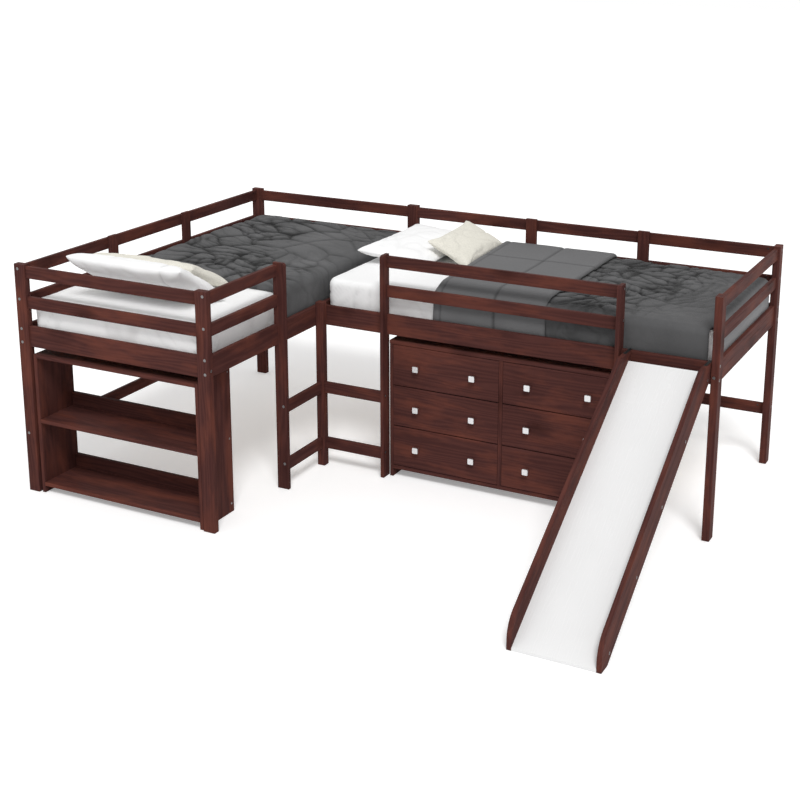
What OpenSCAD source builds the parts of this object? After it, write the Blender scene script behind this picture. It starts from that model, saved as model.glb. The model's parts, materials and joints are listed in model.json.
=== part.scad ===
// L-shaped low loft bed: two twin beds in an L, a slide, a ladder in the
// inner corner, a bookcase and a six-drawer dresser underneath.
// Millimetres. +X runs along the back bed to its foot end, +Y away from the
// viewer, +Z up. The origin is the centre of the base.

/* [Beds] */
// Width of each bed over its posts
bed_w = 1054; // [1046:1:1120]
// Length of the left bed over its posts
bed_l = 1978; // [1970:1:2100]
// Length of the whole back side
total_l = 2997; // [2990:1:3100]
// Height of the corner posts
post_h = 1099; // [1085:1:1250]
// Wide side of a corner post
post_w = 60; // [54:1:70]
// Thickness of a corner post
post_t = 34; // [30:1:44]
// Radius of the eased edges of the posts and boards
ease = 3; // [1:0.5:4]
// Setback of rails and boards from the outer faces of the posts
set_back = 10; // [6:1:14]

/* [Rails and boards] */
// Height of a guard rail
rail_h = 56; // [45:1:62]
// Thickness of rails and boards
rail_t = 20; // [18:1:24]
// Distance from the top of a post down to the top rail
rail_drop = 9; // [5:1:20]
// Distance between the two guard rails, centre to centre
rail_pitch = 142; // [120:1:150]
// Height of the side and end boards
board_h = 98; // [90:1:110]
// Underside of the side and end boards above the floor
board_z = 711; // [705:1:725]
// Width of the uprights that tie the rails together
upright_w = 58; // [50:1:70]
// Distance from the front of the left bed to its first upright's centre
upright_a = 654; // [600:1:700]
// Distance from the foot of the back bed to its last upright's centre
upright_b = 679; // [600:1:720]
// Distance between the two uprights of a bed, centre to centre
upright_pitch = 600; // [560:1:640]
// Height of a low stretcher
stretcher_h = 55; // [45:1:65]
// Underside of the low stretchers above the floor
stretcher_z = 245; // [200:1:300]

/* [Ladder and guard posts] */
// Wide side of the notched guard posts
guard_w = 60; // [54:1:66]
// Thickness of the notched guard posts
guard_t = 18; // [16:1:22]
// Distance from the front of the left bed to its ladder post
guard_a_l = 563; // [520:1:600]
// Distance from the right side of the left bed to the back bed's ladder post
guard_b_gap = 342; // [330:1:360]
// Radius of the rounded outer top corner of a guard post
guard_round = 14; // [8:1:20]
// Lap of the guard post beside the slide down over the side board
guard_lap = 60; // [40:1:90]
// Rise of the post in the inner corner above the side boards
corner_rise = 20; // [10:1:40]
// Underside of the lower rung above the floor
rung_z = 90; // [70:1:130]
// Distance between the two rungs, centre to centre
rung_pitch = 285; // [250:1:300]

/* [Slats] */
// Width of a slat
slat_w = 65; // [50:1:75]
// Thickness of a slat
slat_t = 18; // [16:1:20]
// Slats in each bed
slat_count = 13; // [10:1:15]
// Height of the cleats that carry the slats
cleat_h = 28; // [22:1:34]

/* [Slide] */
// Outer width of the slide
slide_w = 373; // [340:1:376]
// Slope of the slide in degrees
slide_angle = 31.8; // [30:0.1:36]
// Width of a slide side board, square to the slope
slide_board_w = 124; // [110:1:130]
// Height of the side boards above the sliding sheet
slide_lip = 82; // [70:1:90]
// Thickness of the sliding sheet
sheet_t = 9; // [6:1:12]
// Radius of the round at the foot of a side board
slide_nose_r = 120; // [80:1:140]
// Gap from the slide to the corner post
slide_gap = 2; // [2:1:10]
// Gap from the slide to the guard post
slide_guard_gap = 23; // [15:1:30]
// Drop from the top of the side board to the top end of the sheet's line
entry_drop = 19; // [12:1:30]
// Distance that the sheet stops short of the side board
sheet_gap = 30; // [24:1:40]
// Cross cleats under the sheet
slide_cleats_n = 5; // [4:1:6]
// Thickness of a hook strap
hook_t = 2; // [1.5:0.5:2.5]
// Width of a hook strap
hook_w = 14; // [10:1:16]

/* [Bookcase] */
// Width of the bookcase
bookcase_w = 916; // [860:1:920]
// Depth of the bookcase
bookcase_d = 243; // [220:1:300]
// Height of the bookcase
bookcase_h = 678; // [640:1:690]
// Thickness of the bookcase panels
bookcase_t = 18; // [16:1:20]
// Setback of the bookcase from the front of the left bed
bookcase_set = 8; // [4:1:14]
// Gap from the left post to the bookcase
bookcase_gap = 12; // [6:1:14]
// Height of the upper shelf's underside
shelf_z = 345; // [320:1:360]
// Height of the lower shelf's underside
low_shelf_z = 32; // [20:1:60]
// Height of the lip at the back of a shelf
shelf_lip_h = 65; // [50:1:80]

/* [Dresser] */
// Width of the dresser
dresser_w = 1146; // [1100:1:1150]
// Depth of the dresser
dresser_d = 400; // [380:1:450]
// Height of the dresser
dresser_h = 684; // [660:1:695]
// Thickness of the dresser panels
dresser_t = 18; // [16:1:20]
// Gap from the ladder post to the dresser
dresser_gap = 10; // [6:1:12]
// Height of the dresser's floor panel above the ground
plinth_h = 40; // [30:1:60]
// Setback of the dresser from the bed's front plane
dresser_set = 14; // [12:1:20]
// Gap round each drawer front
front_gap = 2; // [1.5:0.5:3]
// Thickness of a drawer front
front_t = 18; // [16:1:20]
// Thickness of the sides and back of a drawer box
box_t = 12; // [10:1:14]
// Height of a drawer box
box_h = 140; // [120:1:150]
// Thickness of a drawer bottom
box_floor_t = 5; // [4:0.5:6]
// Width of the running space on each side of a drawer box
runner_w = 13; // [12:0.5:14]
// Height of a drawer runner
runner_h = 36; // [30:1:45]
// Size of a square knob
knob_w = 28; // [22:1:32]
// Distance from the end of a drawer front to its knob
knob_inset = 128; // [100:1:160]

/* [Bedding] */
// Clearance at each end of the left bed's mattress
mattress_gap_a = 11.5; // [8:0.5:20]
// Clearance at each end of the back bed's mattress
mattress_gap_b = 14; // [8:0.5:20]
// Gap between a mattress and the uprights beside it
mattress_side = 4; // [2:0.5:8]
// Gap between a mattress and the board that its comforter is tucked behind
mattress_tuck = 25; // [24.5:0.5:34]
// Thickness of a mattress
mattress_t = 178; // [150:1:190]
// Thickness of a comforter
comforter_t = 24; // [18:1:30]
// Thickness of the comforters where they hang down a side
flap_t = 10; // [7:1:11]
// Depth of the comforters' hems below the top of the side boards
hem_tuck = 20; // [4:1:30]
// Distance from the front of the left bed to its comforter
comforter_a_y = 640; // [640:1:700]
// Distance from the back bed's mattress head to its comforter
comforter_b_x = 570; // [570:1:600]
// Slant of the comforter's head edge over the width of the bed
comforter_slant = 100; // [90:1:110]
// Distance from the back bed's mattress head to the turned-back fold
turn_x = 1187; // [1000:1:1250]

/* [Pillows] */
// Length of the left bed's white pillow
white_a_l = 640; // [630:1:645]
// Width of the left bed's white pillow
white_a_w = 400; // [390:1:405]
// Thickness of the left bed's white pillow
white_a_t = 120; // [110:1:125]
// Middle, in X from its mattress's corner, of the left bed's white pillow
white_a_x = 499; // [499:0.1:504]
// Middle, in Y from its mattress's corner, of the left bed's white pillow
white_a_y = 201.5; // [201.5:0.1:206.5]
// Middle, above its mattress, of the left bed's white pillow
white_a_z = 110.3; // [110.3:0.1:115.3]
// Length of the left bed's cream pillow
cream_a_l = 590; // [580:1:595]
// Width of the left bed's cream pillow
cream_a_w = 330; // [320:1:335]
// Thickness of the left bed's cream pillow
cream_a_t = 95; // [85:1:100]
// Middle, in X from its mattress's corner, of the left bed's cream pillow
cream_a_x = 398; // [398:0.1:403]
// Middle, in Y from its mattress's corner, of the left bed's cream pillow
cream_a_y = 440.5; // [440.5:0.1:445.5]
// Middle, above its mattress, of the left bed's cream pillow
cream_a_z = 79.6; // [79.6:0.1:84.6]
// Length of the back bed's white pillow
white_b_l = 645; // [635:1:650]
// Width of the back bed's white pillow
white_b_w = 396; // [386:1:401]
// Thickness of the back bed's white pillow
white_b_t = 90; // [80:1:95]
// Middle, in X from its mattress's corner, of the back bed's white pillow
white_b_x = 186; // [186:0.1:191]
// Middle, in Y from its mattress's corner, of the back bed's white pillow
white_b_y = 629; // [629:0.1:634]
// Middle, above its mattress, of the back bed's white pillow
white_b_z = 46.9; // [46.9:0.1:51.9]
// Length of the back bed's cream pillow
cream_b_l = 520; // [510:1:525]
// Width of the back bed's cream pillow
cream_b_w = 255; // [245:1:260]
// Thickness of the back bed's cream pillow
cream_b_t = 80; // [70:1:85]
// Middle, in X from its mattress's corner, of the back bed's cream pillow
cream_b_x = 422; // [422:0.1:427]
// Middle, in Y from its mattress's corner, of the back bed's cream pillow
cream_b_y = 685; // [685:0.1:690]
// Middle, above its mattress, of the back bed's cream pillow
cream_b_z = 66.1; // [66.1:0.1:71.1]

/* [Fasteners] */
// Radius of a bolt shank
bolt_r = 3; // [2.5:0.5:4]
// Radius of a bolt head
head_r = 6.5; // [5:0.5:8]
// Thickness of a bolt head
head_t = 2.5; // [2:0.5:4]
// Rise of the bolts above the middle of a rail
bolt_rise = 15; // [8:1:16]
// Radius of a barrel nut
nut_r = 5; // [4:0.5:6]
// Distance from the end of a rail to its barrel nut
nut_in = 32; // [26:1:40]

/* [Hidden] */
$fn = 48;

// Colours of the finishes
DARK_WOOD = [0.22, 0.10, 0.085];
HIDDEN_WOOD = [0.72, 0.55, 0.36];
STEEL = [0.75, 0.75, 0.77];
SHEET_WHITE = [0.93, 0.93, 0.93];
LINEN = [0.95, 0.95, 0.94];
CREAM = [0.86, 0.84, 0.78];
GREY = [0.30, 0.30, 0.31];

// Running and seating clearances
rest = 0.3;
slip = 0.25;

// Outer front plane of the back bed
b_y = bed_l - bed_w;
// Depth of a board's inner face behind the posts' outer faces
inner = set_back + rail_t;
// Outer faces of the two side boards that meet in the inner corner
face_a = bed_w - set_back;
face_b = b_y + set_back;
board_top = board_z + board_h;
top_rail_z = post_h - rail_drop - rail_h;
rail_zs = [top_rail_z, top_rail_z - rail_pitch];

// Lengths and places of the pieces that butt between the posts
a_near = post_t;
a_far = bed_l - post_t;
b_far = total_l - post_t;
end_l = bed_w - 2 * post_w;

// Guard posts: how far they stand out, and where each one is
proud = guard_w - inner;
guard_b_x = bed_w + guard_b_gap;
guard_a_x = bed_w - inner;
guard_b_y = b_y - proud;
corner_w = guard_w - rail_t;
slide_x = total_l - post_t - slide_gap - slide_w;
guard_end_x = slide_x - slide_guard_gap - guard_t;
rung_out = guard_w - set_back - rail_t;
rung_zs = [rung_z, rung_z + rung_pitch];

// Slats and their cleats
slat_z = board_z + cleat_h;
slat_top = slat_z + slat_t;
upright_z = slat_top + rest;

// Slide: lines parallel to the slope, v above the sheet's underside
rise = tan(slide_angle);
stretch = 1 / cos(slide_angle);
slide_top_v = sheet_t + slide_lip;
slide_low_v = slide_top_v - slide_board_w;
slide_tip_y = face_b - (board_top - entry_drop - sheet_t * stretch) / rise;
sheet_end_y = face_b - sheet_gap;
slide_cleat_w = 40;
slide_cleat_first = 93;
slide_cleat_last = (sheet_end_y - slide_tip_y) * stretch - slide_cleat_w / 2;
slide_cleat_step = (slide_cleat_last - slide_cleat_first) / (slide_cleats_n - 1);
hook_lap = 56;
hook_drop = 30;

// Bookcase
bookcase_x = post_w + bookcase_gap;
bookcase_back = bookcase_set + bookcase_d;
shelf_zs = [low_shelf_z, shelf_z];
screw_r = 2;
screw_head_r = 5;
screw_head_t = 2.5;
screw_l = 40;
screw_edge = 20;

// Dresser and its drawers
dresser_x = guard_b_x + guard_t + dresser_gap;
dresser_y = b_y + dresser_set;
dresser_back_y = dresser_y + dresser_d;
dresser_back_t = 6;
dresser_in_x = dresser_x + dresser_t;
dresser_in_w = dresser_w - 2 * dresser_t;
bay_w = (dresser_in_w - dresser_t) / 2;
bay_z = plinth_h + dresser_t;
rows = 3;
row_h = (dresser_h - dresser_t - bay_z) / rows;
box_back_gap = 16;
runner_short = 10;
runner_set = 2;
box_y = dresser_y + front_t;
box_l = dresser_d - front_t - dresser_back_t - box_back_gap;
box_w = bay_w - 2 * runner_w;
box_lift = 26;
box_floor_in = 8;
runner_l = box_l - runner_short;
runner_wall = 1.6;
knob_out = 24;
knob_plate = 9;
knob_neck_r = 6;

// Bedding
mattress_z = slat_top + rest;
mattress_top = mattress_z + mattress_t;
mattress_w = bed_w - 2 * inner - rail_t - mattress_side - mattress_tuck;
mattress_a_l = bed_l - 2 * inner - 2 * mattress_gap_a;
mattress_a_x = inner + rail_t + mattress_side;
mattress_a_y = inner + mattress_gap_a;
mattress_b_l = total_l - inner - face_a - 2 * mattress_gap_b;
mattress_b_x = face_a + mattress_gap_b;
mattress_b_y = b_y + inner + mattress_tuck;
flap_end = board_top - hem_tuck;

// Bolts: each site is [middle of the head's seat, way in, grip, inner side]
function fastened(x, y, zs, way, grip, side) =
    [for (z = zs) [[x, y, z], way, grip, side]];
rail_bolts = [for (z = rail_zs) z + rail_h / 2 + bolt_rise];
board_bolts = [board_z + 20, board_top - 14];
stretcher_bolts = [stretcher_z + stretcher_h / 2 + bolt_rise];
end_bolts = [board_z + 34];
rung_bolts = [for (z = rung_zs) z + rail_h / 2 + bolt_rise / 2];
line_l = set_back + rail_t / 2;
line_r = bed_w - line_l;
line_b = b_y + line_l;
line_back = bed_l - line_l;
line_end = total_l - line_l;
rung_x = guard_a_x + rung_out + rail_t / 2;
rung_y = guard_b_y + set_back + rail_t / 2;
IN_X = [1, 0, 0];
IN_Y = [0, 1, 0];
left_sites = [for (end = [[0, IN_Y], [bed_l, -IN_Y]])
    each fastened(line_l, end[0], concat(rail_bolts, board_bolts, stretcher_bolts),
        end[1], post_t, IN_X)];
right_sites = concat(
    fastened(line_r, 0, concat(rail_bolts, board_bolts), IN_Y, post_t, -IN_X),
    fastened(line_r, bed_l, board_bolts, -IN_Y, post_t, -IN_X));
guard_a_sites = fastened(line_r, guard_a_l + guard_t, rail_bolts, -IN_Y, guard_t, -IN_X);
back_sites = fastened(total_l, line_back,
    concat(rail_bolts, board_bolts, stretcher_bolts), -IN_X, post_t, -IN_Y);
front_b_sites = fastened(total_l, line_b, board_bolts, -IN_X, post_t, IN_Y);
guard_b_sites = concat(
    fastened(guard_b_x, line_b, rail_bolts, IN_X, guard_t, IN_Y),
    fastened(guard_end_x + guard_t, line_b, rail_bolts, -IN_X, guard_t, IN_Y));
end_sites = concat(
    fastened(0, line_l, end_bolts, IN_X, post_w, IN_Y),
    fastened(bed_w, line_l, end_bolts, -IN_X, post_w, IN_Y),
    fastened(0, line_back, end_bolts, IN_X, post_w, -IN_Y),
    fastened(line_end, b_y, end_bolts, IN_Y, post_w, -IN_X),
    fastened(line_end, bed_l, end_bolts, -IN_Y, post_w, -IN_X));
rung_sites = concat(
    fastened(rung_x, guard_a_l, rung_bolts, IN_Y, guard_t, -IN_X),
    fastened(guard_b_x + guard_t, rung_y, rung_bolts, -IN_X, guard_t, IN_Y));
corner_sites = concat(
    fastened(rung_x, face_b, [for (z = rung_bolts) z + bolt_rise / 2], -IN_Y, corner_w, -IN_X),
    fastened(face_a, rung_y, [for (z = rung_bolts) z - bolt_rise], IN_X, corner_w, IN_Y));
post_sites = concat(left_sites, right_sites, back_sites, front_b_sites, end_sites);
bolt_sites = concat(post_sites, guard_a_sites, guard_b_sites, rung_sites, corner_sites);
head_sink = head_t + 0.5;
bolt_l = nut_in + 8;

// Moves the model so that the centre of its base is the origin
module in_frame()
    translate([-total_l / 2, -(slide_tip_y + bed_l) / 2, 0]) children();

// Turns +Z to the direction d, which lies along X or Y
module aim(d)
    rotate(d[1] == 0 ? [0, 90 * d[0], 0] : [-90 * d[1], 0, 0]) children();

// Rectangle with round corners
module eased(w, h, r = ease) {
    translate([r, 0]) square([w - 2 * r, h]);
    translate([0, r]) square([w, h - 2 * r]);
    for (x = [r, w - r], y = [r, h - r]) translate([x, y]) circle(r);
}

// Boards with eased long edges, from their low corner
module along_x(p, l, t, h)
    translate(p) rotate([90, 0, 90]) linear_extrude(l) eased(t, h);
module along_y(p, l, t, h)
    translate(p + [t, 0, 0]) rotate([90, 0, 180]) linear_extrude(l) eased(t, h);
module upright(p, w, t, l)
    translate(p) linear_extrude(l) eased(w, t);

// Bored room for bolts and their barrel nuts
module bolt_bores(sites)
    for (s = sites) translate(s[0]) {
        aim(s[1]) {
            translate([0, 0, -1]) cylinder(r = head_r + 1, h = head_sink + 1);
            cylinder(r = bolt_r + slip, h = s[2] + bolt_l + 2);
        }
        translate(s[1] * (s[2] + nut_in) - s[3] * (rail_t / 2 - 3))
            aim(s[3]) cylinder(r = nut_r + slip, h = rail_t);
    }

module corner_posts() color(DARK_WOOD) in_frame() difference() {
    union() {
        for (x = [0, bed_w - post_w], y = [0, bed_l - post_t])
            upright([x, y, 0], post_w, post_t, post_h);
        for (y = [b_y, bed_l - post_w])
            upright([total_l - post_t, y, 0], post_t, post_w, post_h);
    }
    bolt_bores(post_sites);
}

// Stands in the corner outside both side boards and carries the rungs
module inner_corner_post() color(DARK_WOOD) in_frame() difference() {
    upright([face_a, face_b - corner_w, 0], corner_w, corner_w,
        board_top + corner_rise);
    bolt_bores(corner_sites);
}

// Outline of a guard post: x is the distance out from its inner edge, y is the
// height. It is notched for the side board and ends at the height foot.
module guard_outline(foot) difference() {
    translate([0, foot]) square([guard_w, post_h - foot]);
    translate([-1, board_z - 1]) square([rail_t + 1, board_h + 1]);
    translate([guard_w - guard_round, post_h - guard_round]) difference() {
        square(guard_round + 1);
        circle(guard_round);
    }
}

// Outline of a ladder post, which runs on below the side board
module ladder_outline() {
    guard_outline(board_z);
    square([guard_w, board_z]);
}

module ladder_posts() color(DARK_WOOD) in_frame() difference() {
    union() {
        translate([guard_a_x, guard_a_l + guard_t, 0])
            rotate([90, 0, 0]) linear_extrude(guard_t) ladder_outline();
        translate([guard_b_x, b_y + inner, 0]) rotate([90, 0, -90])
            mirror([0, 0, 1]) linear_extrude(guard_t) ladder_outline();
    }
    bolt_bores(concat(guard_a_sites, guard_b_sites, rung_sites));
}

module guard_end_post() color(DARK_WOOD) in_frame() difference() {
    translate([guard_end_x, b_y + inner, 0]) rotate([90, 0, -90])
        mirror([0, 0, 1]) linear_extrude(guard_t)
            guard_outline(board_top - guard_lap);
    bolt_bores(guard_b_sites);
}

// Places one end member in each of the three end panels
module in_each_end(z, h) {
    for (y = [set_back, bed_l - inner]) along_x([post_w, y, z], end_l, rail_t, h);
    along_y([total_l - inner, b_y + post_w, z], end_l, rail_t, h);
}

module end_rails() color(DARK_WOOD) in_frame()
    for (z = rail_zs) in_each_end(z, rail_h);

module end_boards() color(DARK_WOOD) in_frame() difference() {
    in_each_end(board_z, board_h);
    bolt_bores(end_sites);
}

module side_rails_a() color(DARK_WOOD) in_frame() difference() {
    for (z = rail_zs) along_y([set_back, a_near, z], a_far - a_near, rail_t, rail_h);
    bolt_bores(left_sites);
}

module side_rails_b() color(DARK_WOOD) in_frame() difference() {
    for (z = rail_zs)
        along_x([bed_w, bed_l - inner, z], b_far - bed_w, rail_t, rail_h);
    bolt_bores(back_sites);
}

module side_boards_a() color(DARK_WOOD) in_frame() difference() {
    for (x = [set_back, bed_w - inner])
        along_y([x, a_near, board_z], a_far - a_near, rail_t, board_h);
    bolt_bores(concat(left_sites, right_sites));
}

module side_boards_b() color(DARK_WOOD) in_frame() difference() {
    union() {
        along_x([bed_w, bed_l - inner, board_z], b_far - bed_w, rail_t, board_h);
        along_x([face_a, face_b, board_z], b_far - face_a, rail_t, board_h);
    }
    bolt_bores(concat(back_sites, front_b_sites));
}

module guard_rails_a() color(DARK_WOOD) in_frame() difference() {
    for (z = rail_zs)
        along_y([bed_w - inner, a_near, z], guard_a_l - a_near, rail_t, rail_h);
    bolt_bores(concat(right_sites, guard_a_sites));
}

module guard_rails_b() color(DARK_WOOD) in_frame() difference() {
    for (z = rail_zs)
        along_x([guard_b_x + guard_t, face_b, z],
            guard_end_x - guard_b_x - guard_t, rail_t, rail_h);
    bolt_bores(guard_b_sites);
}

module rail_uprights() color(DARK_WOOD) in_frame()
    for (i = [0, 1]) {
        upright([inner, upright_a + i * upright_pitch - upright_w / 2, upright_z],
            rail_t, upright_w, post_h - upright_z);
        upright([total_l - upright_b - i * upright_pitch - upright_w / 2,
            bed_l - inner - rail_t, upright_z],
            upright_w, rail_t, post_h - upright_z);
    }

module low_stretchers() color(DARK_WOOD) in_frame() difference() {
    union() {
        along_y([set_back, a_near, stretcher_z], a_far - a_near, rail_t, stretcher_h);
        along_x([bed_w, bed_l - inner, stretcher_z], b_far - bed_w, rail_t,
            stretcher_h);
    }
    bolt_bores(concat(left_sites, back_sites));
}

module ladder_rungs() color(DARK_WOOD) in_frame() difference() {
    for (z = rung_zs) {
        along_y([rung_x - rail_t / 2, guard_a_l + guard_t, z],
            face_b - corner_w - guard_a_l - guard_t, rail_t, rail_h);
        along_x([face_a + corner_w, rung_y - rail_t / 2, z],
            guard_b_x - face_a - corner_w, rail_t, rail_h);
    }
    bolt_bores(concat(rung_sites, corner_sites));
}

module slat_cleats() color(HIDDEN_WOOD) in_frame() {
    for (x = [inner, bed_w - inner - rail_t])
        translate([x, a_near, board_z]) cube([rail_t, a_far - a_near, cleat_h]);
    translate([face_a, b_y + inner, board_z]) cube([b_far - face_a, rail_t, cleat_h]);
    translate([bed_w, bed_l - inner - rail_t, board_z])
        cube([b_far - bed_w, rail_t, cleat_h]);
}

function slat_at(l, i) = (l - slat_w) * i / (slat_count - 1);

module slats_a() color(HIDDEN_WOOD) in_frame()
    for (i = [0:slat_count - 1])
        translate([inner, mattress_a_y + slat_at(mattress_a_l, i), slat_z])
            cube([bed_w - 2 * inner, slat_w, slat_t]);

module slats_b() color(HIDDEN_WOOD) in_frame()
    for (i = [0:slat_count - 1])
        translate([mattress_b_x + slat_at(mattress_b_l, i), b_y + inner, slat_z])
            cube([slat_w, bed_w - 2 * inner, slat_t]);

// Bolt with a hexagon socket, its head's underside at the origin
module bolt(l) {
    difference() {
        translate([0, 0, -head_t]) cylinder(r = head_r, h = head_t);
        translate([0, 0, -head_t - 1]) cylinder(r = head_r / 2, h = 2.5, $fn = 6);
    }
    cylinder(r = bolt_r, h = l);
}

// The two bolts of each cross cleat, one through each slide side board
module each_cleat_bolt()
    for (i = [0:slide_cleats_n - 1], side = [0, 1])
        on_slope(slide_cleat_first + i * slide_cleat_step, -rail_t / 2)
            translate([slide_x + side * slide_w, 0, 0])
                aim(side == 0 ? IN_X : -IN_X) children();

module bolts() color(STEEL) in_frame() {
    for (s = bolt_sites)
        translate(s[0] + s[1] * head_sink) aim(s[1]) bolt(s[2] - head_sink + bolt_l);
    each_cleat_bolt() translate([0, 0, head_sink]) bolt(rail_t + bolt_l - head_sink);
}

module barrel_nuts() color(STEEL) in_frame()
    for (s = bolt_sites)
        translate(s[0] + s[1] * (s[2] + nut_in) - s[3] * (rail_t / 2 - 4))
            difference() {
                aim(s[3]) cylinder(r = nut_r, h = rail_t - 8);
                translate(s[3] * (rail_t / 2 - 4) - s[1] * (nut_r + 2)) aim(s[1])
                    cylinder(r = bolt_r + 0.02, h = 2 * nut_r + 4);
            }

// Puts its children at u along the slope from the foot and v above the
// underside of the sheet, turned to the slope
module on_slope(u, v)
    translate([0, slide_tip_y, 0]) rotate([slide_angle, 0, 0])
        translate([0, u, v]) children();

// Extrudes an outline in Y and Z along +X
module across(x, w)
    translate([x, 0, 0]) rotate([90, 0, 90]) linear_extrude(w) children();

// Height at y of the line that lies v above the sheet's underside
function slope_z(v, y) = (y - slide_tip_y) * rise + v * stretch;

nose_y = slide_tip_y + slide_nose_r;
nose_z = slope_z(slide_top_v - slide_nose_r, nose_y);

module slide_board_outline() difference() {
    polygon([[slide_tip_y, 0],
        [slide_tip_y - slide_low_v * stretch / rise, 0],
        [face_b, slope_z(slide_low_v, face_b)],
        [face_b, board_top],
        [slide_tip_y + (board_top - slide_top_v * stretch) / rise, board_top],
        [slide_tip_y, slope_z(slide_top_v, slide_tip_y)]]);
    difference() {
        polygon([[nose_y, nose_z],
            [slide_tip_y - 1, nose_z],
            [slide_tip_y - 1, slope_z(slide_top_v, slide_tip_y) + 1],
            [nose_y - slide_nose_r * sin(slide_angle),
                nose_z + slide_nose_r * cos(slide_angle)]]);
        translate([nose_y, nose_z]) circle(slide_nose_r, $fn = 96);
    }
}

module slide_side_boards() color(DARK_WOOD) in_frame() difference() {
    for (x = [slide_x, slide_x + slide_w - rail_t])
        across(x, rail_t) slide_board_outline();
    each_cleat_bolt() {
        translate([0, 0, -1]) cylinder(r = head_r + 1, h = head_sink + 1);
        cylinder(r = bolt_r + slip, h = rail_t + 1);
    }
}

module slide_sheet() color(SHEET_WHITE) in_frame()
    across(slide_x + rail_t, slide_w - 2 * rail_t)
        polygon([[slide_tip_y, 0],
            [sheet_end_y, slope_z(0, sheet_end_y)],
            [sheet_end_y, slope_z(sheet_t, sheet_end_y)],
            [slide_tip_y, slope_z(sheet_t, slide_tip_y)]]);

module slide_cross_cleats() color(DARK_WOOD) in_frame() difference() {
    for (i = [0:slide_cleats_n - 1])
        on_slope(slide_cleat_first + i * slide_cleat_step - slide_cleat_w / 2, -rail_t)
            translate([slide_x + rail_t, 0, 0])
                cube([slide_w - 2 * rail_t, slide_cleat_w, rail_t]);
    each_cleat_bolt() cylinder(r = bolt_r + slip, h = rail_t + bolt_l + 2);
}

// Steel straps that hang the slide on the side board
module slide_hooks() color(STEEL) in_frame()
    for (x = [slide_x + rail_t / 2, slide_x + slide_w - rail_t / 2])
        across(x - hook_w / 2, hook_w) {
            translate([face_b - hook_lap, board_top])
                square([hook_lap + rail_t + hook_t, hook_t]);
            translate([face_b + rail_t, board_top - hook_drop])
                square([hook_t, hook_drop + hook_t]);
        }

// Screws through the bookcase sides into the top and the shelves
module each_bookcase_screw()
    for (z = concat(shelf_zs, [bookcase_h - bookcase_t]),
            y = [bookcase_set + screw_edge, bookcase_back - screw_edge],
            side = [0, 1])
        translate([bookcase_x + side * bookcase_w, y, z + bookcase_t / 2])
            aim(side == 0 ? IN_X : -IN_X) children();

module bookcase_screw_bores() each_bookcase_screw() {
    translate([0, 0, -1]) cylinder(r = screw_head_r + slip, h = screw_head_t + 1);
    cylinder(r = screw_r + slip, h = screw_l + 1);
}

module bookcase_sides() color(DARK_WOOD) in_frame() difference() {
    for (x = [bookcase_x, bookcase_x + bookcase_w - bookcase_t])
        upright([x, bookcase_set, 0], bookcase_t, bookcase_d, bookcase_h);
    bookcase_screw_bores();
}

// Board between the bookcase sides, with its underside at z
module bookcase_board(z)
    along_x([bookcase_x + bookcase_t, bookcase_set, z],
        bookcase_w - 2 * bookcase_t, bookcase_d, bookcase_t);

module bookcase_top() color(DARK_WOOD) in_frame() difference() {
    bookcase_board(bookcase_h - bookcase_t);
    bookcase_screw_bores();
}

module bookcase_shelves() color(DARK_WOOD) in_frame() difference() {
    for (z = shelf_zs) {
        bookcase_board(z);
        translate([bookcase_x + bookcase_t, bookcase_back - bookcase_t, z + bookcase_t])
            cube([bookcase_w - 2 * bookcase_t, bookcase_t, shelf_lip_h]);
    }
    bookcase_screw_bores();
}

module bookcase_screws() color(STEEL) in_frame() each_bookcase_screw() {
    cylinder(r = screw_head_r, h = screw_head_t - 0.3);
    cylinder(r = screw_r, h = screw_l);
}

module dresser_sides() color(DARK_WOOD) in_frame()
    for (x = [dresser_x, dresser_x + dresser_w - dresser_t])
        upright([x, dresser_y, 0], dresser_t, dresser_d, dresser_h - dresser_t);

module dresser_top() color(DARK_WOOD) in_frame()
    along_x([dresser_x, dresser_y, dresser_h - dresser_t], dresser_w, dresser_d,
        dresser_t);

module dresser_partition() color(DARK_WOOD) in_frame()
    translate([dresser_in_x + bay_w, dresser_y, bay_z])
        cube([dresser_t, dresser_d - dresser_back_t, dresser_h - dresser_t - bay_z]);

module dresser_floor() color(DARK_WOOD) in_frame()
    translate([dresser_in_x, dresser_y, plinth_h])
        cube([dresser_in_w, dresser_d, dresser_t]);

module dresser_back() color(HIDDEN_WOOD) in_frame()
    translate([dresser_in_x, dresser_back_y - dresser_back_t, bay_z])
        cube([dresser_in_w, dresser_back_t, dresser_h - dresser_t - bay_z]);

// Low front corner of a drawer bay: row 0 is the lowest, column 0 the left
function bay(row, col) =
    [dresser_in_x + col * (bay_w + dresser_t), dresser_y, bay_z + row * row_h];
runner_z = box_lift + (box_h - runner_h) / 2;

// Channel on the cabinet, open towards the drawer at +X
module cabinet_runner() difference() {
    cube([runner_w - slip, runner_l, runner_h]);
    translate([runner_wall, -1, runner_wall])
        cube([runner_w, runner_l + 2, runner_h - 2 * runner_wall]);
}

module cabinet_runners() color(STEEL) in_frame()
    for (row = [0:rows - 1], col = [0, 1])
        translate(bay(row, col) + [0, front_t + runner_set, runner_z]) {
            cabinet_runner();
            translate([bay_w, 0, 0]) mirror([1, 0, 0]) cabinet_runner();
        }

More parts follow.
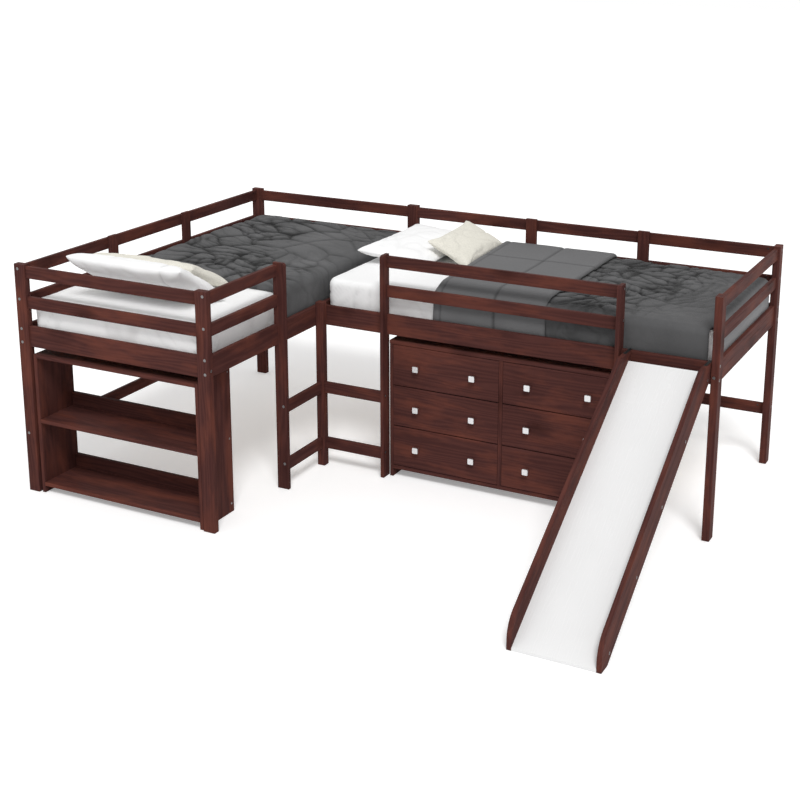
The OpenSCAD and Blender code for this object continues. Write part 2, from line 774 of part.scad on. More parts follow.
// Box of a drawer: two sides, a back, a floor and the rails in its runners
module drawer_box(row, col) color(HIDDEN_WOOD) in_frame()
    translate(bay(row, col) + [runner_w, front_t, box_lift]) {
        for (x = [0, box_w - box_t]) translate([x, 0, 0]) cube([box_t, box_l, box_h]);
        translate([box_t, box_l - box_t, 0]) cube([box_w - 2 * box_t, box_t, box_h]);
        translate([box_t, 0, box_floor_in])
            cube([box_w - 2 * box_t, box_l - box_t, box_floor_t]);
        drawer_rail();
        translate([box_w, 0, 0]) mirror([1, 0, 0]) drawer_rail();
    }

// Rail on the side of a drawer box that runs in the cabinet's channel
module drawer_rail()
    translate([runner_wall + rest - runner_w, runner_set,
            runner_z - box_lift + runner_wall + rest])
        cube([runner_w - runner_wall - rest, runner_l,
            runner_h - 2 * runner_wall - 2 * rest]);

module drawer_front(row, col) color(DARK_WOOD) in_frame()
    along_x(bay(row, col) + [front_gap, 0, front_gap], bay_w - 2 * front_gap,
        front_t, row_h - 2 * front_gap);

// Square knob on a round neck, standing out towards -Y
module knob() {
    rotate([90, 0, 0]) cylinder(r = knob_neck_r, h = knob_out - knob_plate);
    translate([-knob_w / 2, -knob_out, -knob_w / 2])
        rotate([90, 0, 0]) mirror([0, 0, 1]) linear_extrude(knob_plate)
            eased(knob_w, knob_w, 4);
}

module drawer_knobs(row, col) color(STEEL) in_frame()
    for (x = [knob_inset, bay_w - knob_inset])
        translate(bay(row, col) + [x, 0, row_h / 2]) knob();

// Soft forms
function spaced(a, b, n) = [for (i = [0:n]) a + (b - a) * i / n];
function quad(a, b, c, d) = [[a, b, c], [a, c, d]];

// Faces of k rings of n points, closed by a point below and a point above
function ring_faces(n, k) = concat(
    [for (i = [0:k - 2], j = [0:n - 1])
        each quad(i * n + j, (i + 1) * n + j,
            (i + 1) * n + (j + 1) % n, i * n + (j + 1) % n)],
    [for (j = [0:n - 1]) [k * n, j, (j + 1) % n]],
    [for (j = [0:n - 1]) [k * n + 1, (k - 1) * n + (j + 1) % n, (k - 1) * n + j]]);

module ringed(rings, low, high)
    polyhedron(points = concat([for (r = rings) each r], [low, high]),
        faces = ring_faces(len(rings[0]), len(rings)));

// Rectangle l by w with corners of radius r, all moved out by the amount out
function corner_ring(l, w, r, out, z) = let (k = max(r + out, 12)) [
    for (c = [[1, 1, 0], [-1, 1, 90], [-1, -1, 180], [1, -1, 270]], i = [0:4])
        [c[0] * (l / 2 + out - k) + k * cos(c[2] + i * 22.5),
            c[1] * (w / 2 + out - k) + k * sin(c[2] + i * 22.5), z]];

// Mattress with piped edges, drawn-in sides and a slight crown. Each pair is
// the distance out from its outline and the height.
mattress_r = 55;
module mattress(l) {
    t = mattress_t;
    profile = [[-26, 0], [-8, 4], [0, 14], [-5, 26], [-3, t / 2], [-5, t - 30],
        [0, t - 18], [-8, t - 8], [-26, t - 4], [-160, t - 1]];
    translate([l / 2, mattress_w / 2, mattress_z])
        ringed([for (p = profile)
                corner_ring(l, mattress_w, mattress_r, p[0], p[1])],
            [0, 0, 0], [0, 0, t]);
}

module mattress_a() color(LINEN) in_frame()
    translate([mattress_a_x + mattress_w, mattress_a_y, 0]) rotate([0, 0, 90]) mattress(mattress_a_l);

module mattress_b() color(LINEN) in_frame()
    translate([mattress_b_x, mattress_b_y, 0]) mattress(mattress_b_l);

// Where a comforter lies: d is measured from the far edge of the mattress
// over its top, round its edge and down its side, off is the height above it
drape_r = 24;
drape_in = 4;
drape_flat = mattress_w + 2 - drape_r - drape_in;
drape_bend = drape_r * PI / 2;
drape_drop = mattress_top + rest - drape_r - flap_end;
hem_t = 6;
function drape(d, off) =
    d <= drape_flat ? [d, off]
    : d < drape_flat + drape_bend
        ? let (a = (d - drape_flat) / drape_r * 180 / PI)
            [drape_flat + (drape_r + off) * sin(a),
                (drape_r + off) * cos(a) - drape_r]
        : [drape_flat + drape_r + off, drape_flat + drape_bend - drape_r - d];
drape_ds = concat([0, 12], spaced(80, drape_flat, 10),
    [for (i = [1:3]) drape_flat + drape_bend * i / 3],
    [for (f = [0.5, 1]) drape_flat + drape_bend + drape_drop * f]);

// Share of the full thickness that is left past the mattress edge
function drape_thin(d) =
    flap_t / comforter_t + (1 - flap_t / comforter_t)
        * max(0, min(1, 1 - (d - drape_flat + 60) / (60 + drape_bend)));

// Gathers of the quilting, between -1 and 1
function gathers(x, y) =
    sin(360 * x / 230 + 50 * sin(360 * y / 310)) * sin(360 * y / 190 + 60 * sin(360 * x / 370));

// Thickness of a comforter at d across it and s along it, of total length l
function quilt(d, s, l, deep) =
    s <= 0 || s >= l || d <= 0 ? hem_t
    : comforter_t * drape_thin(d) * (1 + deep * drape_thin(d) * gathers(s, d));

// Skin between an outer and an inner grid of nu by nv points
function skin_faces(nu, nv) = let (m = nu * nv) concat(
    [for (i = [0:nu - 2], j = [0:nv - 2])
        each quad(i * nv + j, i * nv + j + 1, (i + 1) * nv + j + 1, (i + 1) * nv + j)],
    [for (i = [0:nu - 2], j = [0:nv - 2])
        each quad(m + i * nv + j, m + (i + 1) * nv + j,
            m + (i + 1) * nv + j + 1, m + i * nv + j + 1)],
    [for (j = [0:nv - 2]) each quad(j + 1, j, m + j, m + j + 1)],
    [for (j = [0:nv - 2]) let (a = (nu - 1) * nv + j)
        each quad(a, a + 1, m + a + 1, m + a)],
    [for (i = [0:nu - 2]) let (a = i * nv) each quad(a, a + nv, m + a + nv, m + a)],
    [for (i = [0:nu - 2]) let (a = i * nv + nv - 1)
        each quad(a + nv, a, m + a, m + a + nv)]);

module skin(outer, inner_grid)
    polyhedron(points = concat([for (row = outer) each row],
            [for (row = inner_grid) each row]),
        faces = skin_faces(len(outer), len(outer[0])));

comforter_z = mattress_top + rest;
comforter_a_l = mattress_a_y + mattress_a_l - drape_in - comforter_a_y;
comforter_a_ss = concat([0, 14], spaced(80, comforter_a_l - 80, 18),
    [comforter_a_l - 14, comforter_a_l]);

function on_bed_a(d, s, off) = let (p = drape(d, off))
    [mattress_a_x + drape_in + p[0], comforter_a_y + s, comforter_z + p[1]];

module comforter_a() color(GREY) in_frame()
    skin([for (d = drape_ds) [for (s = comforter_a_ss)
            on_bed_a(d, s, quilt(d, s, comforter_a_l, 0.35))]],
        [for (d = drape_ds) [for (s = comforter_a_ss) on_bed_a(d, s, 0)]]);

// The back bed's comforter is turned back at its head, so it is double there
comforter_b_l = mattress_b_l - comforter_b_x - drape_in;
turn_l = turn_x - comforter_b_x;
comforter_b_ss = concat([0, 14], spaced(80, turn_l - 60, 7),
    [turn_l - 14, turn_l + 16], spaced(turn_l + 70, comforter_b_l - 70, 11),
    [comforter_b_l - 14, comforter_b_l]);

// Head edge of the turned-back part, slanted by comforter_slant over the bed
function along_b(d, s) = let (lag = comforter_slant * min(d / drape_flat, 1)
        - comforter_slant / 2)
    mattress_b_x + comforter_b_x + s + lag * max(0, 1 - s / turn_l);

function on_bed_b(d, s, off) = let (p = drape(d, off))
    [along_b(d, s), mattress_b_y + mattress_w - drape_in - p[0], comforter_z + p[1]];

function folded_quilt(d, s) =
    s <= 0 || s >= comforter_b_l || d <= 0 ? hem_t
    : s < turn_l
        ? (1 + drape_thin(d)) * comforter_t * (0.8 * drape_thin(d) + 0.2 * flap_t / comforter_t)
            + 4 * drape_thin(d) * sin(180 * s / turn_l)
        : quilt(d, s, comforter_b_l, 0.4);

module comforter_b() color(GREY) in_frame()
    skin([for (d = drape_ds) [for (s = comforter_b_ss)
            on_bed_b(d, s, folded_quilt(d, s))]],
        [for (d = drape_ds) [for (s = comforter_b_ss) on_bed_b(d, s, 0)]]);

// Pillow with a crown, thin seams and sides drawn in between its tips
pillow_pull = 0.07;
pillow_tip = 0.94;
function pillow_ring(size, s, side) = [
    for (k = [0:3], t = [-pillow_tip, -0.64, -0.32, 0, 0.32, 0.64, pillow_tip])
        let (u = 1 - pillow_pull * (pillow_tip * pillow_tip - t * t),
            x = u * cos(90 * k) - t * sin(90 * k),
            y = u * sin(90 * k) + t * cos(90 * k))
            [s * x * size[0] / 2, s * y * size[1] / 2,
                side * size[2] / 2 * pow(1 - s * s, 0.6)]];

module pillow(size)
    ringed([for (p = [[0.3, -1], [0.6, -1], [0.82, -1], [0.95, -1], [1, 1],
                [0.95, 1], [0.82, 1], [0.6, 1], [0.3, 1]])
            pillow_ring(size, p[0], p[1])],
        [0, 0, -size[2] / 2], [0, 0, size[2] / 2]);

module white_pillow_a() color(LINEN) in_frame()
    translate([mattress_a_x + white_a_x, mattress_a_y + white_a_y, mattress_top + white_a_z])
        rotate([-31, 0, 0]) pillow([white_a_l, white_a_w, white_a_t]);

module cream_pillow_a() color(CREAM) in_frame()
    translate([mattress_a_x + cream_a_x, mattress_a_y + cream_a_y, mattress_top + cream_a_z])
        rotate([-25, 0, 0]) pillow([cream_a_l, cream_a_w, cream_a_t]);

module white_pillow_b() color(LINEN) in_frame()
    translate([mattress_b_x + white_b_x, mattress_b_y + white_b_y, mattress_top + white_b_z])
        rotate([0, 5, 0]) rotate([0, 0, 90]) pillow([white_b_l, white_b_w, white_b_t]);

module cream_pillow_b() color(CREAM) in_frame()
    translate([mattress_b_x + cream_b_x, mattress_b_y + cream_b_y, mattress_top + cream_b_z])
        rotate([0, 0, 4]) rotate([0, 27, 0]) rotate([0, 0, 90])
            pillow([cream_b_l, cream_b_w, cream_b_t]);

corner_posts();
inner_corner_post();
ladder_posts();
guard_end_post();
end_rails();
end_boards();
side_rails_a();
side_rails_b();
side_boards_a();
side_boards_b();
guard_rails_a();
guard_rails_b();
rail_uprights();
low_stretchers();
ladder_rungs();
slat_cleats();
slats_a();
slats_b();
bolts();
barrel_nuts();
mattress_a();
mattress_b();
comforter_a();
comforter_b();
white_pillow_a();
cream_pillow_a();
white_pillow_b();
cream_pillow_b();
slide_side_boards();
slide_sheet();
slide_cross_cleats();
slide_hooks();
bookcase_sides();
bookcase_top();
bookcase_shelves();
bookcase_screws();
dresser_sides();
dresser_top();
dresser_partition();
dresser_floor();
dresser_back();
cabinet_runners();
drawer_box(2, 0);  // drawer_box_top_left
drawer_front(2, 0);  // drawer_front_top_left
drawer_knobs(2, 0);  // drawer_knobs_top_left
drawer_box(2, 1);  // drawer_box_top_right
drawer_front(2, 1);  // drawer_front_top_right
drawer_knobs(2, 1);  // drawer_knobs_top_right
drawer_box(1, 0);  // drawer_box_middle_left
drawer_front(1, 0);  // drawer_front_middle_left
drawer_knobs(1, 0);  // drawer_knobs_middle_left
drawer_box(1, 1);  // drawer_box_middle_right
drawer_front(1, 1);  // drawer_front_middle_right
drawer_knobs(1, 1);  // drawer_knobs_middle_right
drawer_box(0, 0);  // drawer_box_bottom_left
drawer_front(0, 0);  // drawer_front_bottom_left
drawer_knobs(0, 0);  // drawer_knobs_bottom_left
drawer_box(0, 1);  // drawer_box_bottom_right
drawer_front(0, 1);  // drawer_front_bottom_right
drawer_knobs(0, 1);  // drawer_knobs_bottom_right
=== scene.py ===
"""Looks of an L-shaped loft bed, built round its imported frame.

Lengths are metres in the frame of the part: +X along the back bed to its foot
end, +Y away from the viewer, +Z up, with the origin at the centre of the base.
"""

from __future__ import annotations

import itertools
import json
import logging
import math
from dataclasses import dataclass, field
from enum import Enum

import bpy
import numpy as np
from mathutils import Euler, Matrix, Vector, noise

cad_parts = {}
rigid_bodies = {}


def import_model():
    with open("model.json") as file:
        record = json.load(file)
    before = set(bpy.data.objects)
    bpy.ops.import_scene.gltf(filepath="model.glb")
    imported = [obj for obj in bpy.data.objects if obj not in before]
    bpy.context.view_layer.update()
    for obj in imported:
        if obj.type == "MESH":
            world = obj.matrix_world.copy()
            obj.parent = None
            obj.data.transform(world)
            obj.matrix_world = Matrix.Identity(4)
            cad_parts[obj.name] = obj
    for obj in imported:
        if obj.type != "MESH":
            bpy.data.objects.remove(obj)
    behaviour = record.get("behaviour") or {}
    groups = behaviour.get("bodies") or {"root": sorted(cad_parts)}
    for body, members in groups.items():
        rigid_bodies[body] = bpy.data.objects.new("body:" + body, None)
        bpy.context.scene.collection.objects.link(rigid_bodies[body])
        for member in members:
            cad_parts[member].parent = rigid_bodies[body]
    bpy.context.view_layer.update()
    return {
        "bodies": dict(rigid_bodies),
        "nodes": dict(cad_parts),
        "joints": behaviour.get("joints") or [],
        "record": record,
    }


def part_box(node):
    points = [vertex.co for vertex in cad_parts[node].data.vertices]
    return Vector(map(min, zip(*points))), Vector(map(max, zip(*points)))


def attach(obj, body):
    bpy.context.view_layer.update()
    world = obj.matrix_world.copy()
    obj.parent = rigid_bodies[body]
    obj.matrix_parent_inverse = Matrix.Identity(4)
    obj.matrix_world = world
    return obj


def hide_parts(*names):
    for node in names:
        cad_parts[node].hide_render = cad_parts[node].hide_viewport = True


LOG = logging.getLogger("loft_bed")
BODY = "bed_frame"

Colour = tuple[float, float, float]
Place = tuple[float, float, float]
Faces = list[tuple[int, ...]]

QUARTER = math.pi / 2
WHITE = (1.0, 1.0, 1.0, 1.0)

# Least length by which a move is divided to give its direction.
TINY = 1e-9

# Slope of the slide in degrees, and radius of the mattresses' edges.
SLIDE_ANGLE = 31.8
MATTRESS_EDGE_R = 0.040

# Limits of the painted shade on cloth, the share by which it is drawn darker in a crease; below 0 it is
# drawn lighter.
DARKEST = 0.92
LIGHTEST = -1.8

# How much the coordinates are stretched along X, Y and Z for each kind of mark
# in wood, cloth and metal. The grain runs along Z.
RINGS = (9.0, 9.0, 0.9)
PORES = (150.0, 150.0, 4.0)
MOTTLES = (14.0, 14.0, 3.5)
KNOTS = (5.0, 5.0, 2.8)
SLUBS_ACROSS = (60.0, 700.0, 1.0)
SLUBS_ALONG = (700.0, 60.0, 1.0)
SCRATCHES = (140.0, 9.0, 9.0)


class Grain(Enum):
    """Direction in which the grain of a board runs."""

    X = (0.0, QUARTER, 0.0)
    Y = (-QUARTER, 0.0, 0.0)
    Z = (0.0, 0.0, 0.0)
    SLOPE = (math.radians(90 - SLIDE_ANGLE), 0.0, 0.0)


class Side(Enum):
    """Axis along which the grain changes within a node."""

    X = "X"
    Y = "Y"


@dataclass(frozen=True)
class Turn:
    """Change of grain direction past a plane.

    Args:
        axis: axis that the plane is square to.
        at: place of the plane on that axis.
        beyond: grain direction past the plane.
    """

    axis: Side
    at: float
    beyond: Grain


def clear_scene() -> None:
    """Removes the objects that a new file starts with."""
    for thing in list(bpy.data.objects):
        bpy.data.objects.remove(thing)


def new_group(name: str, ins: dict[str, object]) -> bpy.types.NodeTree:
    """Makes a shader group with the outputs Color, Roughness and Height.

    Args:
        name: name of the group.
        ins: default of each input by name: None for coordinates, a tuple for
            a colour and a number for a value.

    Returns:
        The group, with its input and output nodes in place.
    """
    tree = bpy.data.node_groups.new(name, "ShaderNodeTree")
    kinds = {type(None): "NodeSocketVector", tuple: "NodeSocketColor", float: "NodeSocketFloat"}
    for key, default in ins.items():
        socket = tree.interface.new_socket(name=key, in_out="INPUT", socket_type=kinds[type(default)])
        if default is not None:
            socket.default_value = default
    for key, kind in (("Color", tuple), ("Roughness", float), ("Height", float)):
        tree.interface.new_socket(name=key, in_out="OUTPUT", socket_type=kinds[kind])
    tree.nodes.new("NodeGroupInput").name = "in"
    tree.nodes.new("NodeGroupOutput").name = "out"
    return tree


@dataclass
class Wiring:
    """Short-hand for adding linked nodes to a tree.

    Args:
        tree: tree that the nodes go into.
    """

    tree: bpy.types.NodeTree

    def add(self, kind: str, **values: object) -> bpy.types.Node:
        """Adds a node.

        Args:
            kind: type of the node.
            values: settings of the node; a value for an input is given as
                in_NUMBER or in_NAME, and may be a socket to link from.

        Returns:
            The new node.
        """
        node = self.tree.nodes.new(kind)
        for key, value in values.items():
            if not key.startswith("in_"):
                setattr(node, key, value)
                continue
            name = key.removeprefix("in_")
            target = node.inputs[int(name) if name.isdigit() else name.replace("_", " ")]
            if isinstance(value, bpy.types.NodeSocket):
                self.tree.links.new(value, target)
            else:
                target.default_value = value
        return node

    def math(self, operation: str, *values: object) -> bpy.types.NodeSocket:
        """Adds a Math node and returns its output.

        Args:
            operation: operation of the node.
            values: numbers or sockets for its inputs.

        Returns:
            The output socket.
        """
        named = {f"in_{i}": v for i, v in enumerate(values)}
        return self.add("ShaderNodeMath", operation=operation, **named).outputs[0]

    def mix(
        self, factor: object, first: object, second: object, blend: str = "MIX"
    ) -> bpy.types.NodeSocket:
        """Mixes two colours and returns the result.

        Args:
            factor: share of the second colour.
            first: first colour or socket.
            second: second colour or socket.
            blend: blend type of the node.

        Returns:
            The colour socket.
        """
        node = self.add(
            "ShaderNodeMix", data_type="RGBA", blend_type=blend, in_0=factor, in_6=first, in_7=second
        )
        return node.outputs[2]

    def shaded(self, colour: object, shade: bpy.types.NodeSocket) -> bpy.types.NodeSocket:
        """Multiplies a colour by a value and returns the result.

        Args:
            colour: colour or socket.
            shade: socket with the value.

        Returns:
            The colour socket.
        """
        grey = self.add("ShaderNodeCombineColor", in_0=shade, in_1=shade, in_2=shade).outputs[0]
        return self.mix(1.0, colour, grey, "MULTIPLY")

    def stretched(self, vector: object, scale: tuple[float, float, float]) -> bpy.types.NodeSocket:
        """Scales coordinates along each axis and returns them."""
        return self.add("ShaderNodeMapping", in_Vector=vector, in_Scale=scale).outputs[0]

    def noise(
        self, vector: object, scale: float, detail: float = 3.0, rough: float = 0.5
    ) -> bpy.types.NodeSocket:
        """Adds a Noise Texture and returns its value.

        Args:
            vector: socket with the coordinates.
            scale: scale of the noise.
            detail: octaves of the noise.
            rough: weight of the finer octaves.

        Returns:
            The value socket.
        """
        node = self.add(
            "ShaderNodeTexNoise", in_Vector=vector, in_Scale=scale, in_Detail=detail, in_Roughness=rough
        )
        return node.outputs[0]

    def spread(self, value: object, low: float, high: float) -> bpy.types.NodeSocket:
        """Maps low..high to 0..1, held at both ends.

        Args:
            value: socket with the value.
            low: value that gives 0.
            high: value that gives 1.

        Returns:
            The value socket.
        """
        node = self.add("ShaderNodeMapRange", in_Value=value, in_1=low, in_2=high)
        return node.outputs[0]

    def start(self) -> bpy.types.Node:
        """The node that gives a group's inputs."""
        return self.tree.nodes["in"]

    def close(self, colour: object, roughness: object, height: object) -> bpy.types.NodeTree:
        """Links a group's outputs.

        Args:
            colour: socket for Color.
            roughness: socket for Roughness.
            height: socket for Height.

        Returns:
            The group.
        """
        end = self.tree.nodes["out"]
        for name, socket in (("Color", colour), ("Roughness", roughness), ("Height", height)):
            self.tree.links.new(socket, end.inputs[name])
        return self.tree


def grain_group() -> bpy.types.NodeTree:
    """Shader group of wood grain that runs along Z, in metres.

    Returns:
        The group.
    """
    w = Wiring(new_group("wood_grain", {
        "Vector": None,
        "Light": (0.1, 0.03, 0.02, 1),
        "Deep": (0.04, 0.01, 0.01, 1),
        "Warm": (0.14, 0.03, 0.02, 1),
        "Roughness": 0.4,
    }))
    start = w.start()
    vector, deep = start.outputs["Vector"], start.outputs["Deep"]
    broad = w.stretched(vector, RINGS)
    swirl = w.add("ShaderNodeTexNoise", in_Vector=broad, in_Scale=1.3, in_Detail=2.0).outputs[1]
    bent = w.add(
        "ShaderNodeVectorMath", operation="MULTIPLY_ADD", in_0=broad, in_1=(1, 1, 1), in_2=swirl
    ).outputs[0]
    rings = w.add("ShaderNodeTexWave", in_Vector=bent, in_Scale=1.9, in_Distortion=5.0, in_Detail=3.0)
    figure = w.math("MULTIPLY_ADD", rings.outputs[1], 0.5, w.math("MULTIPLY", w.noise(broad, 1.6), 0.5))
    pores = w.spread(w.noise(w.stretched(vector, PORES), 1.0, 2.0, 0.6), 0.56, 0.72)
    patch = w.noise(vector, 2.2, 2.0)
    mottle = w.noise(w.stretched(vector, MOTTLES), 1.0, 4.0, 0.6)
    cells = w.add("ShaderNodeTexVoronoi", in_Vector=w.stretched(vector, KNOTS), in_Scale=1.0)
    knots = w.spread(cells.outputs["Distance"], 0.27, 0.06)
    heart = w.add("ShaderNodeVectorMath", operation="SCALE", in_0=deep, in_Scale=0.55).outputs[0]
    warm = w.math("MULTIPLY", w.spread(mottle, 0.45, 0.70), 0.70)
    tone = w.mix(w.spread(figure, 0.0, 1.0), deep, start.outputs["Light"])
    tone = w.mix(warm, tone, start.outputs["Warm"])
    tone = w.mix(w.math("MULTIPLY", pores, 0.30), tone, deep)
    tone = w.mix(w.math("MULTIPLY", knots, w.spread(mottle, 0.35, 0.60)), tone, heart)
    tone = w.shaded(tone, w.math("MULTIPLY_ADD", patch, 0.4, 0.8))
    rough = w.math("MULTIPLY_ADD", pores, 0.18, start.outputs["Roughness"])
    rough = w.math("MULTIPLY_ADD", patch, 0.08, rough)
    height = w.math("MULTIPLY_ADD", pores, -0.7, w.math("MULTIPLY", figure, 0.3))
    return w.close(tone, rough, height)


def weave_group() -> bpy.types.NodeTree:
    """Shader group of a woven cloth on UV coordinates in metres.

    Returns:
        The group.
    """
    w = Wiring(new_group("cloth_weave", {
        "Vector": None,
        "Colour": (0.8, 0.8, 0.8, 1),
        "Threads": 400.0,
        "Slubs": 0.1,
        "Creases": 0.5,
        "PaintedShade": 0.0,
    }))
    start = w.start()
    vector, threads = start.outputs["Vector"], start.outputs["Threads"]
    scaled = w.add("ShaderNodeVectorMath", operation="SCALE", in_0=vector, in_Scale=threads)
    parts = w.add("ShaderNodeSeparateXYZ", in_0=scaled.outputs[0])
    warp, weft = (w.math("SINE", w.math("MULTIPLY", parts.outputs[i], math.tau)) for i in (0, 1))
    across = w.noise(w.stretched(vector, SLUBS_ACROSS), 1.0, 1.0)
    along = w.noise(w.stretched(vector, SLUBS_ALONG), 1.0, 1.0)
    slubs = w.spread(w.math("MAXIMUM", across, along), 0.45, 0.8)
    creases = w.noise(vector, 26.0, 4.0, 0.62)
    broad = w.noise(vector, 3.0, 2.0)
    shade = w.math("MULTIPLY_ADD", w.math("MULTIPLY", slubs, start.outputs["Slubs"]), -1.0, 1.06)
    shade = w.math("MULTIPLY", shade, w.math("MULTIPLY_ADD", broad, 0.14, 0.92))
    # Painted shade from the mesh: darker in creases and folds, lighter where the share is below 0.
    shade = w.math("MULTIPLY", shade, w.math("SUBTRACT", 1.0, start.outputs["PaintedShade"]))
    rough = w.math("MULTIPLY_ADD", creases, 0.12, 0.8)
    height = w.math("MULTIPLY_ADD", w.math("MULTIPLY", warp, weft), 0.06, w.math("MULTIPLY", slubs, 0.12))
    height = w.math("ADD", height, w.math("MULTIPLY", creases, start.outputs["Creases"]))
    return w.close(w.shaded(start.outputs["Colour"], shade), rough, height)


def wear_group() -> bpy.types.NodeTree:
    """Shader group of faint scuffs and dust on a smooth surface.

    Returns:
        The group.
    """
    w = Wiring(new_group("scuffs", {
        "Vector": None,
        "Colour": (0.8, 0.8, 0.8, 1),
        "Roughness": 0.3,
        "Marks": 0.1,
    }))
    start = w.start()
    vector = start.outputs["Vector"]
    scratches = w.noise(w.stretched(vector, SCRATCHES), 1.0, 3.0, 0.6)
    marks = w.math("MULTIPLY", w.spread(scratches, 0.55, 0.75), start.outputs["Marks"])
    cloud = w.noise(vector, 5.0, 3.0)
    shade = w.math("SUBTRACT", w.math("MULTIPLY_ADD", cloud, 0.06, 0.97), w.math("MULTIPLY", marks, 0.4))
    rough = w.math("ADD", start.outputs["Roughness"], w.math("MULTIPLY_ADD", cloud, 0.08, marks))
    height = w.math("MULTIPLY_ADD", cloud, 0.3, marks)
    return w.close(w.shaded(start.outputs["Colour"], shade), rough, height)


@dataclass
class Groups:
    """The shader groups that the finishes share, and the materials made.

    Args:
        grain: group of the wood grain.
        weave: group of the woven cloth.
        scuffs: group of the scuffs on metal and plastic.
        made: the materials made so far, by name.
    """

    grain: bpy.types.NodeTree
    weave: bpy.types.NodeTree
    scuffs: bpy.types.NodeTree
    made: dict[str, bpy.types.Material] = field(default_factory=dict)

    @classmethod
    def build(cls) -> Groups:
        """Builds every group once."""
        return cls(grain_group(), weave_group(), wear_group())


def start_material(name: str) -> tuple[bpy.types.Material, Wiring, bpy.types.Node]:
    """Makes a material that holds one Principled shader.

    Args:
        name: name of the material.

    Returns:
        The material, its wiring and its shader.
    """
    material = bpy.data.materials.new(name)
    material.use_nodes = True
    wiring = Wiring(material.node_tree)
    return material, wiring, material.node_tree.nodes["Principled BSDF"]


def join_up(
    w: Wiring, shader: bpy.types.Node, group: bpy.types.Node, strength: float, distance: float
) -> None:
    """Links a group's colour, roughness and height to a shader.

    Args:
        w: wiring of the material.
        shader: the Principled shader.
        group: group node with Color, Roughness and Height.
        strength: strength of the bump.
        distance: height of the bump.
    """
    w.tree.links.new(group.outputs["Color"], shader.inputs["Base Color"])
    w.tree.links.new(group.outputs["Roughness"], shader.inputs["Roughness"])
    bump = w.add("ShaderNodeBump", in_Height=group.outputs["Height"])
    bump.inputs["Strength"].default_value = strength
    bump.inputs["Distance"].default_value = distance
    w.tree.links.new(bump.outputs[0], shader.inputs["Normal"])


@dataclass(frozen=True)
class WoodFinish:
    """Wood with grain along a direction.

    Args:
        name: name of the finish.
        light: colour of the lighter grain.
        deep: colour of the deeper grain.
        warm: colour of the warmer patches.
        roughness: roughness between the pores.
        coat: weight of the clear coat.
        ior: index of refraction of the surface.
        bump: strength of the pores' relief.
        relief: depth of the pores.
    """

    name: str
    light: Colour
    deep: Colour
    warm: Colour
    roughness: float
    coat: float
    ior: float = 1.06
    bump: float = 0.25
    relief: float = 0.0006

    def material(self, groups: Groups, grain: Grain, turn: Turn | None = None) -> bpy.types.Material:
        """Makes the material for a grain direction.

        Args:
            groups: shared shader groups.
            grain: direction of the grain.
            turn: change of direction within the node, if there is one.

        Returns:
            The material.
        """
        label = f"{self.name}_{grain.name}" + (f"_{turn.axis.value}{turn.beyond.name}" if turn else "")
        if label in groups.made:
            return groups.made[label]
        material, w, shader = start_material(label)
        groups.made[label] = material
        place = w.add("ShaderNodeTexCoord").outputs["Object"]
        vector = self.turned(w, place, grain)
        if turn:
            parts = w.add("ShaderNodeSeparateXYZ", in_0=place)
            past = w.math("GREATER_THAN", parts.outputs[turn.axis.value], turn.at)
            other = self.turned(w, place, turn.beyond)
            chooser = w.add("ShaderNodeMix", data_type="VECTOR", in_0=past, in_4=vector, in_5=other)
            vector = chooser.outputs[1]
        group = w.add("ShaderNodeGroup", node_tree=groups.grain)
        w.tree.links.new(vector, group.inputs["Vector"])
        group.inputs["Light"].default_value = (*self.light, 1)
        group.inputs["Deep"].default_value = (*self.deep, 1)
        group.inputs["Warm"].default_value = (*self.warm, 1)
        group.inputs["Roughness"].default_value = self.roughness
        join_up(w, shader, group, self.bump, self.relief)
        shader.inputs["Coat Weight"].default_value = self.coat
        shader.inputs["Coat Roughness"].default_value = 0.25
        shader.inputs["IOR"].default_value = self.ior
        return material

    @staticmethod
    def turned(w: Wiring, place: bpy.types.NodeSocket, grain: Grain) -> bpy.types.NodeSocket:
        """Turns coordinates so that the grain runs along Z.

        Args:
            w: wiring of the material.
            place: socket with the object coordinates.
            grain: direction of the grain.

        Returns:
            The socket with the turned coordinates.
        """
        return w.add("ShaderNodeMapping", in_Vector=place, in_Rotation=grain.value).outputs[0]


@dataclass(frozen=True)
class ClothFinish:
    """Woven cloth.

    Args:
        name: name of the finish.
        colour: colour of the cloth.
        threads: threads to the metre, divided by two.
        slubs: depth of the darker threads.
        creases: share of the small creases in the relief.
        sheen: weight of the sheen.
        bump: strength of the relief.
        relief: depth of the relief.
    """

    name: str
    colour: Colour
    threads: float
    slubs: float
    creases: float
    sheen: float
    bump: float = 0.35
    relief: float = 0.004

    def material(self, groups: Groups) -> bpy.types.Material:
        """Makes the material.

        Args:
            groups: shared shader groups.

        Returns:
            The material.
        """
        if self.name in groups.made:
            return groups.made[self.name]
        material, w, shader = start_material(self.name)
        groups.made[self.name] = material
        group = w.add("ShaderNodeGroup", node_tree=groups.weave)
        w.tree.links.new(w.add("ShaderNodeUVMap", uv_map="cloth").outputs[0], group.inputs["Vector"])
        group.inputs["Colour"].default_value = (*self.colour, 1)
        group.inputs["Threads"].default_value = self.threads
        group.inputs["Slubs"].default_value = self.slubs
        group.inputs["Creases"].default_value = self.creases
        # Painted shade that the mesh carries for its creases and folds.
        painted_shade = w.add("ShaderNodeAttribute", attribute_name="painted_shade").outputs["Fac"]
        w.tree.links.new(painted_shade, group.inputs["PaintedShade"])
        join_up(w, shader, group, self.bump, self.relief)
        shader.inputs["Sheen Weight"].default_value = self.sheen
        shader.inputs["Sheen Roughness"].default_value = 0.5
        shader.inputs["Specular IOR Level"].default_value = 0.2
        return material


